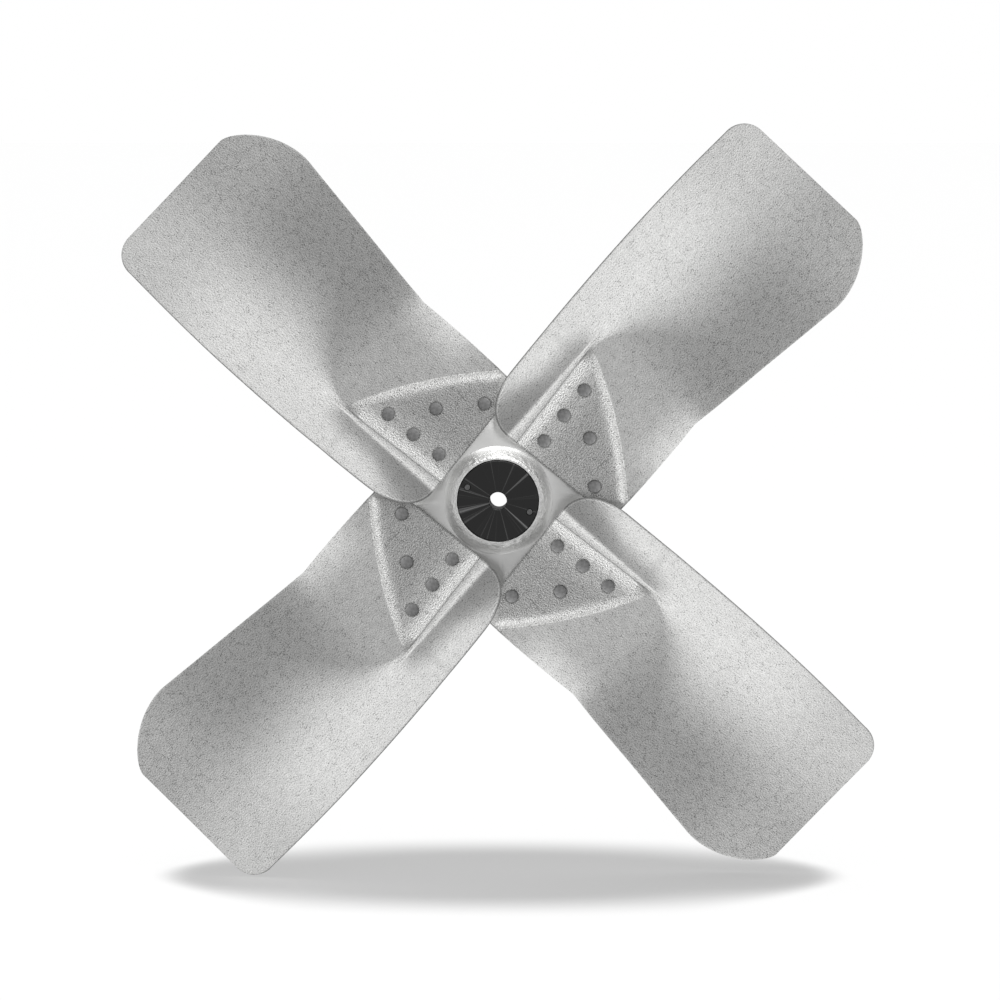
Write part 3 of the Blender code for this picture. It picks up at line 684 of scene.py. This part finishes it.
def pit_mask(tree, flat, shade_and_grime, coined):
    """Dark pits, thick along broken strings and on the coined pads, thin elsewhere.

    Real pits are about 0.3 mm wide. These are about 1 mm wide, because finer ones don't show.
    """
    # The strings wander, lie about 9 mm apart and are left out in places
    wander = add_node(tree, "TexNoise", {"Vector": flat, "Scale": 0.10, "Detail": 3.0})["Color"]
    bent = add_node(tree, "VectorMath", {0: wander, "Scale": 14.0}, operation="SCALE")[0]
    bent = add_node(tree, "VectorMath", (bent, flat), operation="ADD")[0]
    cells = {"Vector": bent, "Scale": 0.11}
    string = add_node(tree, "TexVoronoi", cells, feature="DISTANCE_TO_EDGE")[0]
    string = add_node(tree, "MapRange", (string, 0.03, 0.10, 1.0, 0.0))[0]
    broken = add_node(tree, "TexNoise", {"Vector": flat, "Scale": 0.20, "Detail": 3.0})[0]
    broken = add_node(tree, "Math", (shade_and_grime, 0.06, broken), operation="MULTIPLY_ADD")[0]
    broken = add_node(tree, "MapRange", (broken, 0.48, 0.60))[0]
    strung = add_node(tree, "Math", (string, broken), operation="MULTIPLY")[0]

    pits = add_node(tree, "TexNoise", {"Vector": flat, "Scale": 1.15, "Detail": 1.0})[0]
    for more, weight in ((shade_and_grime, 0.02), (strung, 0.10)):
        pits = add_node(tree, "Math", (more, weight, pits), operation="MULTIPLY_ADD")[0]
    limit = add_node(tree, "MapRange", (coined, 0.0, 1.0, 0.63, 0.585))[0]
    pits = add_node(tree, "Math", (pits, limit), operation="SUBTRACT")[0]
    return add_node(tree, "MapRange", (pits, 0.0, 0.03))[0]


def edge_masks(tree, x, below):
    """Masks of a blade's shear-cut edge, darkened as painted shade, of the painted shadow at the root,
    and of a painted highlight along the lobe's edge.
    """
    rim = add_node(tree, "Attribute", attribute_name="edge")["Fac"]
    edge_shade = add_node(tree, "MapRange", (rim, 0.7, 1.1, 1.0, 0.0))[0]
    at_root = add_node(tree, "MapRange", (x, 62.0, 70.0, 1.0, 0.0))[0]
    root_shadow = add_node(tree, "Math", (edge_shade, at_root), operation="MULTIPLY")[0]
    above = add_node(tree, "Math", (below, -6.0), operation="LESS_THAN")[0]
    on_lobe = add_node(tree, "Math", (at_root, above), operation="MULTIPLY")[0]
    lobe_edge_highlight = add_node(tree, "Math", (rim, 1.6, 0.35), operation="COMPARE")[0]
    lobe_edge_highlight = add_node(tree, "Math", (lobe_edge_highlight, on_lobe), operation="MULTIPLY")[0]
    return edge_shade, root_shadow, lobe_edge_highlight


def galvanised_sheet(colour):
    """Hot-dip galvanised sheet, pressed and weathered: a dull even grey with faint mottling and pits.

    The coined pads are grainier, so that they sparkle where the blade's light grazes them, and carry
    a painted highlight along the groove and the ridge.
    """
    made, tree, shader = new_material("galvanised_sheet", Metallic=1.0, Roughness=0.6)
    flat, x, below, inside, coined = blade_places(tree)
    middles, rims = rivet_distances(tree, flat)

    # Painted shade: dark lines in the groove and round each rivet's head, which end before the outer
    # panel
    groove = add_node(tree, "Math", (below,), operation="ABSOLUTE")[0]
    lines = add_node(tree, "Math", (groove, rims), operation="MINIMUM")[0]
    crease_shade = add_node(tree, "MapRange", (lines, 0.1, 0.42, 1.0, 0.0))[0]
    shown = add_node(tree, "MapRange", (x, 112.0, 136.0, 1.0, 0.0))[0]
    crease_shade = add_node(tree, "Math", (crease_shade, shown), operation="MULTIPLY")[0]

    # Painted shade, darkest on the outer half of the blade on the side away from the lobe; the same
    # mask also thickens the pits there as grime
    outer = add_node(tree, "MapRange", (x, 105.0, 165.0), **SMOOTHSTEP)[0]
    shade_and_grime = add_node(tree, "MapRange", (below, 10.0, 85.0), **SMOOTHSTEP)[0]
    shade_and_grime = add_node(tree, "Math", (shade_and_grime, outer), operation="MULTIPLY")[0]

    # Painted highlight on the pad, towards the groove and along the ridge
    pad_highlight = add_node(tree, "MapRange", (below, 34.0, 8.0), **SMOOTHSTEP)[0]
    ridge_highlight = add_node(tree, "MapRange", (inside, 14.0, 2.5, 0.0, 1.5), **SMOOTHSTEP)[0]
    pad_highlight = add_node(tree, "Math", (pad_highlight, ridge_highlight), operation="MAXIMUM")[0]
    pad_highlight = add_node(tree, "Math", (pad_highlight, coined), operation="MULTIPLY")[0]

    # Faint mottling about 6 mm across, and grain drawn about 1 mm across, since finer doesn't show
    mottle = add_node(tree, "TexNoise", {"Vector": flat, "Scale": 0.16, "Detail": 5.0})[0]
    grain = add_node(tree, "TexNoise", {"Vector": flat, "Scale": 0.95, "Detail": 1.5})[0]
    shade = add_node(tree, "MapRange", (mottle, 0.3, 0.7, 0.95, 1.05))[0]
    fine = add_node(tree, "MapRange", (grain, 0.3, 0.7, 0.88, 1.12))[0]
    shade = add_node(tree, "Math", (shade, fine), operation="MULTIPLY")[0]

    pits = pit_mask(tree, flat, shade_and_grime, coined)
    edge_shade, root_shadow, lobe_edge_highlight = edge_masks(tree, x, below)
    # Pits, then painted shade in the groove, round the rivets, along the cut edges and at the root, a
    # painted highlight along the lobe's edge and on the pad, and painted shade over the far outer half
    pits_and_painted_light = ((pits, 0.48), (crease_shade, 0.50), (edge_shade, 0.94), (root_shadow, 0.68), (lobe_edge_highlight, 1.25))
    for mask, tone in (*pits_and_painted_light, (pad_highlight, 1.32), (shade_and_grime, 0.80)):
        change = add_node(tree, "MapRange", (mask, 0.0, 1.0, 1.0, tone))[0]
        shade = add_node(tree, "Math", (shade, change), operation="MULTIPLY")[0]
    paint(tree, shader, colour, shade)

    strength = add_node(tree, "MapRange", (coined, 0.0, 1.0, 0.16, 0.34))[0]
    relief = {"Height": grain, "Strength": strength, "Distance": 0.0025}
    grained = add_node(tree, "Bump", relief)[0]

    # Each rivet's head sits in a shallow dimple, whose far side catches the light
    radius = RIVET_HEAD_RADIUS * 1000.0
    dimple = add_node(tree, "MapRange", (middles, radius + 0.1, radius + 1.3), **SMOOTHSTEP)[0]
    relief = {"Height": dimple, "Strength": 1.0, "Distance": 0.0006, "Normal": grained}
    tree.links.new(add_node(tree, "Bump", relief)[0], shader.inputs["Normal"])
    return made


def dull_steel(name, colour):
    """Dull headed or turned steel, mottled about 1.5 mm across: its small faces read as worn discs."""
    made, tree, shader = new_material(name, Metallic=1.0, Roughness=0.55)
    place = add_node(tree, "Attribute", attribute_name="drawn")["Vector"]
    mottle = add_node(tree, "TexNoise", {"Vector": place, "Scale": 0.7, "Detail": 3.0})[0]
    paint(tree, shader, colour, add_node(tree, "MapRange", (mottle, 0.3, 0.7, 0.75, 1.15))[0])
    relief = {"Height": mottle, "Strength": 0.3, "Distance": 0.0004}
    tree.links.new(add_node(tree, "Bump", relief)[0], shader.inputs["Normal"])
    return made


def zinc_plated_steel(colour):
    """Zinc-plated pressed steel: satin, clouded about 11 mm across, so the collar shows soft bands.

    The drawn collar is rippled about 4.5 mm across round its top, which breaks up its highlight.
    """
    made, tree, shader = new_material("zinc_plated_pressed_steel", Metallic=1.0, Roughness=0.45)
    place = add_node(tree, "Attribute", attribute_name="drawn")["Vector"]
    cloud = add_node(tree, "TexNoise", {"Vector": place, "Scale": 0.09, "Detail": 4.0})[0]
    paint(tree, shader, colour, add_node(tree, "MapRange", (cloud, 0.3, 0.7, 0.96, 1.03))[0])

    height = add_node(tree, "SeparateXYZ", (place,))[2]
    strength = add_node(tree, "MapRange", (height, 1.0, 6.0, 0.02, 0.42), **SMOOTHSTEP)[0]
    ripple = add_node(tree, "TexNoise", {"Vector": place, "Scale": 0.22, "Detail": 3.0})[0]
    relief = {"Height": ripple, "Strength": strength, "Distance": 0.004}
    tree.links.new(add_node(tree, "Bump", relief)[0], shader.inputs["Normal"])
    return made


def turned_black_steel(colour):
    """Turned and blackened steel: dark, with painted highlight streaks, standing in for the turned
    face's reflections, running out from the bore.

    The streaks' pattern depends on the direction from the shaft alone, about 5 to the radian.
    """
    made, tree, shader = new_material("turned_blackened_steel", Metallic=1.0, Roughness=0.42)
    drawn = add_node(tree, "Attribute", attribute_name="drawn")["Vector"]
    flat = add_node(tree, "VectorMath", (drawn, (1.0, 1.0, 0.0)), operation="MULTIPLY")[0]
    away = add_node(tree, "VectorMath", (flat,), operation="NORMALIZE")[0]
    pattern = {"Vector": away, "Scale": 5.0, "Detail": 8.0, "Roughness": 0.75}
    painted_streak = add_node(tree, "TexNoise", pattern)[0]
    paint(tree, shader, colour, add_node(tree, "MapRange", (painted_streak, 0.55, 0.78, 1.0, 16.0))[0])
    return made


def stand_up(turn=0.0, place=(0.0, 0.0, 0.0)):
    """Matrix from a piece's flat frame, turned about the shaft and placed, to the upright fan."""
    upright = Matrix.Translation((0.0, HUB_REAR_Z, 0.0)) @ Matrix.Rotation(pi / 2.0, 4, "X")
    return upright @ Matrix.Translation(place) @ Matrix.Rotation(turn, 4, "Z")


def add_piece(name, mesh, matrix, surface, slot, *nodes):
    """Add a finished piece that stands for CAD nodes and rides on the fan.

    Its place goes into its vertices, and the millimetres it was drawn in into an attribute.
    """
    mesh = mesh.copy()
    drawn = np.empty(len(mesh.vertices) * 3, dtype=np.float32)
    mesh.vertices.foreach_get("co", drawn)
    mesh.attributes.new("drawn", "FLOAT_VECTOR", "POINT").data.foreach_set("vector", drawn * 1000.0)
    mesh.transform(matrix)
    mesh.materials.append(surface)
    piece = bpy.data.objects.new(name, mesh)
    bpy.context.scene.collection.objects.link(piece)
    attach(piece, "root")
    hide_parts(*nodes)
    return piece


def blade_angle(number):
    return FIRST_BLADE_ANGLE + 2.0 * pi * (number - 1) / BLADE_COUNT


class FAN_OT_blades(bpy.types.Operator):
    """Build the four formed blades"""

    bl_idname = "fan.blades"
    bl_label = "Blades"

    def execute(self, context):
        mesh = blade_mesh(context.scene.fan_sizes.edge_round)
        surface = galvanised_sheet(context.scene.fan_colours.zinc)
        for number in range(1, BLADE_COUNT + 1):
            name = f"blade_{number}"
            matrix = stand_up(blade_angle(number))
            add_piece(f"{name}_skin", mesh, matrix, surface, "galvanized_blade", name)
        return {"FINISHED"}


class FAN_OT_rivets(bpy.types.Operator):
    """Build the rivets in the blades' pads"""

    bl_idname = "fan.rivets"
    bl_label = "Rivets"

    def execute(self, context):
        chamfer = context.scene.fan_sizes.rivet_chamfer
        top = FIT_GAP + RIVET_HEAD_HEIGHT
        tail = SPIDER_BACK_Z - FIT_GAP
        profile = [
            (0.0, top),
            (RIVET_HEAD_RADIUS - chamfer, top),
            (RIVET_HEAD_RADIUS - chamfer * 0.3, top - chamfer * 0.3),
            (RIVET_HEAD_RADIUS, top - chamfer),
            (RIVET_HEAD_RADIUS, 0.0),
            (RIVET_SHANK_RADIUS, 0.0),
            (RIVET_SHANK_RADIUS, tail),
            (RIVET_TAIL_RADIUS, tail),
            (RIVET_TAIL_RADIUS * 0.92, tail - RIVET_TAIL_HEIGHT * 0.6),
            (RIVET_TAIL_RADIUS * 0.7, tail - RIVET_TAIL_HEIGHT),
            (0.0, tail - RIVET_TAIL_HEIGHT),
        ]
        mesh = turned_mesh("rivet_skin", profile, 48)
        surface = dull_steel("rivet_steel", context.scene.fan_colours.rivet)
        for number in range(1, BLADE_COUNT + 1):
            turn = Matrix.Rotation(blade_angle(number), 2)
            for place, point in enumerate(RIVET_PLACES, start=1):
                name = f"rivet_{number}_{place}"
                matrix = stand_up(blade_angle(number), (*(turn @ Vector(point)), 0.0))
                add_piece(f"{name}_skin", mesh, matrix, surface, "rivet_steel", name)
        return {"FINISHED"}


class FAN_OT_spider(bpy.types.Operator):
    """Build the pressed spider with its domed collar"""

    bl_idname = "fan.spider"
    bl_label = "Spider"

    def execute(self, context):
        surface = zinc_plated_steel(context.scene.fan_colours.plating)
        matrix = stand_up(FIRST_BLADE_ANGLE)
        piece = add_piece("spider_skin", spider_mesh(), matrix, surface, "plated_spider", "spider")
        sheet = piece.modifiers.new("sheet", "SOLIDIFY")
        sheet.thickness = SPIDER_SHEET
        sheet.offset = -1.0
        sheet.use_even_offset = True
        sheet.use_quality_normals = True
        return {"FINISHED"}


class FAN_OT_hub(bpy.types.Operator):
    """Build the turned hub with its pins and set screw"""

    bl_idname = "fan.hub"
    bl_label = "Hub"

    def execute(self, context):
        surface = turned_black_steel(context.scene.fan_colours.black)
        front = LIP_FRONT_Z - SPIDER_SHEET - FIT_GAP
        back = front - HUB_FLANGE
        bevel = 0.0005
        profile = [
            (BORE_RADIUS, HUB_REAR_Z + bevel),
            (BORE_RADIUS + bevel, HUB_REAR_Z),
            (HUB_BARREL_RADIUS - 0.001, HUB_REAR_Z),
            (HUB_BARREL_RADIUS, HUB_REAR_Z + 0.001),
            (HUB_BARREL_RADIUS, back - 0.003),
            (HUB_BARREL_RADIUS + 0.003, back),
            (HUB_SHOULDER_RADIUS - 0.0055, back),
            (HUB_SHOULDER_RADIUS - 0.0032, front),
            (HUB_FACE_RADIUS, front),
            (HUB_FACE_RADIUS, HUB_FRONT_Z - bevel),
            (HUB_FACE_RADIUS - bevel, HUB_FRONT_Z),
            (BORE_RADIUS + bevel, HUB_FRONT_Z),
            (BORE_RADIUS, HUB_FRONT_Z - bevel),
        ]
        mesh = turned_mesh("hub_skin", profile, 160)
        for angle in HUB_PIN_ANGLES:
            place = (HUB_PIN_CIRCLE * cos(angle), HUB_PIN_CIRCLE * sin(angle), HUB_FRONT_Z)
            drill = Matrix.Translation(place)
            mesh = drilled_mesh(mesh, drill, HUB_PIN_RADIUS + FIT_GAP, HUB_PIN_LENGTH + FIT_GAP)
        side = Matrix.Translation((-0.03, 0.0, SET_SCREW_Z)) @ Matrix.Rotation(-pi / 2.0, 4, "Y")
        mesh = drilled_mesh(mesh, side, SET_SCREW_RADIUS + FIT_GAP, 0.03)
        add_piece("hub_skin", mesh, stand_up(), surface, "blackened_hub", "hub")
        return {"FINISHED"}


class FAN_OT_hub_pins(bpy.types.Operator):
    """Build the two pins whose ends show in the hub's face, and the set screw"""

    bl_idname = "fan.hub_pins"
    bl_label = "Pins and set screw"

    def execute(self, context):
        bevel = 0.0003
        profile = [
            (0.0, HUB_FRONT_Z),
            (HUB_PIN_RADIUS - bevel, HUB_FRONT_Z),
            (HUB_PIN_RADIUS, HUB_FRONT_Z - bevel),
            (HUB_PIN_RADIUS, HUB_FRONT_Z - HUB_PIN_LENGTH),
            (0.0, HUB_FRONT_Z - HUB_PIN_LENGTH),
        ]
        surface = dull_steel("pin_steel", context.scene.fan_colours.pin)
        mesh = turned_mesh("hub_pin_skin", profile, 48)
        for number, angle in enumerate(HUB_PIN_ANGLES, start=1):
            place = (HUB_PIN_CIRCLE * cos(angle), HUB_PIN_CIRCLE * sin(angle), 0.0)
            name = f"hub_pin_{number}"
            add_piece(f"{name}_skin", mesh, stand_up(0.0, place), surface, "rivet_steel", name)

        profile = [
            (0.0, 0.0),
            (SET_SCREW_RADIUS * 0.6, 0.0),
            (SET_SCREW_RADIUS, 0.0012),
            (SET_SCREW_RADIUS, SET_SCREW_LENGTH - 0.0004),
            (SET_SCREW_RADIUS - 0.0004, SET_SCREW_LENGTH),
            (SOCKET_RADIUS, SET_SCREW_LENGTH),
            (SOCKET_RADIUS, SET_SCREW_LENGTH - SOCKET_DEPTH),
            (0.0, SET_SCREW_LENGTH - SOCKET_DEPTH),
        ]
        mesh = turned_mesh("set_screw_skin", profile, 48)
        matrix = stand_up(0.0, (-SET_SCREW_TIP_X, 0.0, SET_SCREW_Z))
        matrix = matrix @ Matrix.Rotation(-pi / 2.0, 4, "Y")
        add_piece("set_screw_skin", mesh, matrix, surface, "rivet_steel", "set_screw")
        return {"FINISHED"}


class FAN_OT_stage(bpy.types.Operator):
    """Set up the floor, the soft lights and the camera"""

    bl_idname = "fan.stage"
    bl_label = "Stage"

    def execute(self, context):
        scene = context.scene
        scene.view_settings.view_transform = "Standard"
        centre = Vector((0.0, HUB_REAR_Z, 0.0))
        self.add_surroundings(scene, scene.fan_stage.fill)
        self.add_blade_lights(centre, scene.fan_stage.blade_light)
        middle = self.pieces("spider", "hub")
        for name, place, side, size, power in HUB_LIGHTS:
            self.add_light(name, centre, place, side, size, power, middle, middle)
        seen_behind = self.pieces("blade", "rivet", "spider")
        self.add_light("back_light", centre, *BACK_LIGHT, seen_behind)
        self.add_floor_lights(scene, self.add_floor(scene), self.add_flag(scene))
        self.add_camera(scene, centre, scene.fan_stage.azimuth, scene.fan_stage.elevation)
        return {"FINISHED"}

    def pieces(self, *starts):
        return [o for o in bpy.data.objects if o.name.startswith(starts) and o.name.endswith("_skin")]

    def add_surroundings(self, scene, fill):
        """White for the camera, and an even grey light for the rest."""
        world = bpy.data.worlds.new("even_white")
        world.use_nodes = True
        tree = world.node_tree
        seen = add_node(tree, "LightPath")["Is Camera Ray"]
        strength = add_node(tree, "MapRange", (seen, 0.0, 1.0, fill, 1.0))[0]
        tree.nodes["Background"].inputs["Color"].default_value = (1.0, 1.0, 1.0, 1.0)
        tree.links.new(strength, tree.nodes["Background"].inputs["Strength"])
        scene.world = world

    def add_blade_lights(self, centre, power):
        """Light each blade alone, low from its far side; only the first and third are shaded by all."""
        for number in range(1, BLADE_COUNT + 1):
            angle = blade_angle(number)
            along = Vector((cos(angle), 0.0, sin(angle)))
            across = Vector((-sin(angle), 0.0, cos(angle)))
            out = Vector((0.0, -sin(BLADE_LIGHT_ANGLE), 0.0))
            place = (out - across * cos(BLADE_LIGHT_ANGLE)) * BLADE_LIGHT_DISTANCE
            lit = self.pieces(f"blade_{number}_", f"rivet_{number}_")
            name = f"blade_{number}_light"
            shading = lit if number in (2, 4) else None
            self.add_light(name, centre, place, along, BLADE_LIGHT_SIZE, power, lit, shading)

    def add_floor(self, scene):
        """A plain floor that reaches the horizon."""
        colour = (*scene.fan_colours.floor, 1.0)
        surface, _, _ = new_material("plain_pale_floor", Base_Color=colour, Roughness=0.9)
        floor = self.add_square(scene, "floor", FLOOR_SIZE, FLOOR_Z, surface)
        floor.visible_shadow = False
        return floor

    def add_flag(self, scene):
        """A feathered card over the fan, out of sight, that gives the floor its soft oval shadow."""
        surface, tree, _ = new_material("feathered_card")
        place = add_node(tree, "TexCoord")["Object"]
        axes = (1.0 / FLAG_HALF_AXES[0], 1.0 / FLAG_HALF_AXES[1], 0.0)
        scaled = add_node(tree, "VectorMath", (place, axes), operation="MULTIPLY")[0]
        reach = add_node(tree, "VectorMath", (scaled,), operation="LENGTH")["Value"]
        beyond = add_node(tree, "Math", (reach, 1.0), operation="SUBTRACT")[0]

        # The feather is wide along the oval's front and back, and narrow at its two ends
        across = add_node(tree, "SeparateXYZ", (scaled,))[0]
        across = add_node(tree, "Math", (across,), operation="ABSOLUTE")[0]
        feather = add_node(tree, "MapRange", (across, 0.5, 1.0, 0.36, 0.06), **SMOOTHSTEP)[0]
        share = add_node(tree, "Math", (beyond, feather), operation="DIVIDE")[0]
        clear = add_node(tree, "MapRange", (share, -1.0, 1.0), **SMOOTHSTEP)[0]
        black = add_node(tree, "BsdfDiffuse", {"Color": (0.0, 0.0, 0.0, 1.0)})[0]
        open_air = add_node(tree, "BsdfTransparent")[0]
        mixed = add_node(tree, "MixShader", (clear, black, open_air))[0]
        tree.links.new(mixed, tree.nodes["Material Output"].inputs["Surface"])
        flag = self.add_square(scene, "flag", 1.0, 0.0, surface)
        flag.location = FLAG_PLACE
        flag.visible_camera = False
        return flag

    def add_square(self, scene, name, half, z, surface):
        """A level square that isn't reflected in the fan."""
        mesh = bpy.data.meshes.new(name)
        corners = [(-half, -half, z), (half, -half, z), (half, half, z), (-half, half, z)]
        mesh.from_pydata(corners, [], [(0, 1, 2, 3)])
        mesh.materials.append(surface)
        square = bpy.data.objects.new(name, mesh)
        scene.collection.objects.link(square)
        square.visible_glossy = False
        square.visible_diffuse = False
        return square

    def add_floor_lights(self, scene, floor, flag):
        """Light from straight above on the floor alone. Only the flag shades it, from one lamp."""
        for name, power in (("floor_light", 1.75), ("floor_fill", 0.88)):
            lamp = bpy.data.lights.new(name, "SUN")
            lamp.energy = power
            lamp.angle = radians(1.0)
            lamp.use_shadow = name == "floor_light"
            sun = bpy.data.objects.new(name, lamp)
            scene.collection.objects.link(sun)
            self.link_light(sun, [floor], [flag])

    def add_light(self, name, aim, place, side, size, power, lit, shading=None):
        """A soft rectangular light at a place from what it aims at, its long side along side."""
        lamp = bpy.data.lights.new(name, "AREA")
        lamp.shape = "RECTANGLE"
        lamp.size, lamp.size_y = size
        lamp.energy = power
        light = bpy.data.objects.new(name, lamp)
        bpy.context.scene.collection.objects.link(light)
        behind = Vector(place).normalized()
        up = behind.cross(Vector(side)).normalized()
        turn = Matrix((up.cross(behind), up, behind)).transposed().to_4x4()
        light.matrix_world = Matrix.Translation(aim + Vector(place)) @ turn
        light.visible_camera = False
        self.link_light(light, lit, shading)

    def link_light(self, light, lit, shading):
        """Let a light fall on the lit objects only, shaded by the others given, or by all if None."""
        linking = light.light_linking
        linking.receiver_collection = self.gather(f"lit_by_{light.name}", lit)
        if shading is not None:
            linking.blocker_collection = self.gather(f"shading_{light.name}", shading)

    def gather(self, name, objects):
        group = bpy.data.collections.new(name)
        for o in objects:
            group.objects.link(o)
        return group

    def add_camera(self, scene, centre, azimuth, elevation):
        """A long lens from just above and right of the shaft."""
        camera = bpy.data.cameras.new("camera")
        camera.lens = CAMERA_LENS
        camera.sensor_width = 36.0
        camera.dof.use_dof = False
        viewer = bpy.data.objects.new("camera", camera)
        scene.collection.objects.link(viewer)
        level = cos(elevation)
        back = Vector((sin(azimuth) * level, -cos(azimuth) * level, sin(elevation)))
        turn = (-back).to_track_quat("-Z", "Y")
        viewer.location = centre - turn @ Vector(PICTURE_SHIFT) + back * CAMERA_DISTANCE
        viewer.rotation_euler = turn.to_euler()
        scene.camera = viewer


class FAN_PT_build(bpy.types.Panel):
    """The fan's pieces and stage, with their sizes and colours"""

    bl_idname = "FAN_PT_build"
    bl_label = "Fan blade look"
    bl_space_type = "VIEW_3D"
    bl_region_type = "UI"
    bl_category = "Fan"

    def draw(self, context):
        for group in (context.scene.fan_sizes, context.scene.fan_colours, context.scene.fan_stage):
            column = self.layout.column()
            for name in group.__annotations__:
                column.prop(group, name)
        for operator in OPERATORS:
            self.layout.operator(operator.bl_idname)


OPERATORS = (FAN_OT_blades, FAN_OT_rivets, FAN_OT_spider, FAN_OT_hub, FAN_OT_hub_pins, FAN_OT_stage)
CLASSES = (FanSizes, FanColours, FanStage, *OPERATORS, FAN_PT_build)


def register():
    for cls in CLASSES:
        bpy.utils.register_class(cls)
    bpy.types.Scene.fan_sizes = PointerProperty(type=FanSizes)
    bpy.types.Scene.fan_colours = PointerProperty(type=FanColours)
    bpy.types.Scene.fan_stage = PointerProperty(type=FanStage)


def unregister():
    del bpy.types.Scene.fan_stage
    del bpy.types.Scene.fan_colours
    del bpy.types.Scene.fan_sizes
    for cls in reversed(CLASSES):
        bpy.utils.unregister_class(cls)


def main():
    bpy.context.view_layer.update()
    register()
    for operator in OPERATORS:
        category, name = operator.bl_idname.split(".")
        getattr(getattr(bpy.ops, category), name)()


if __name__ == "__main__":
    main()
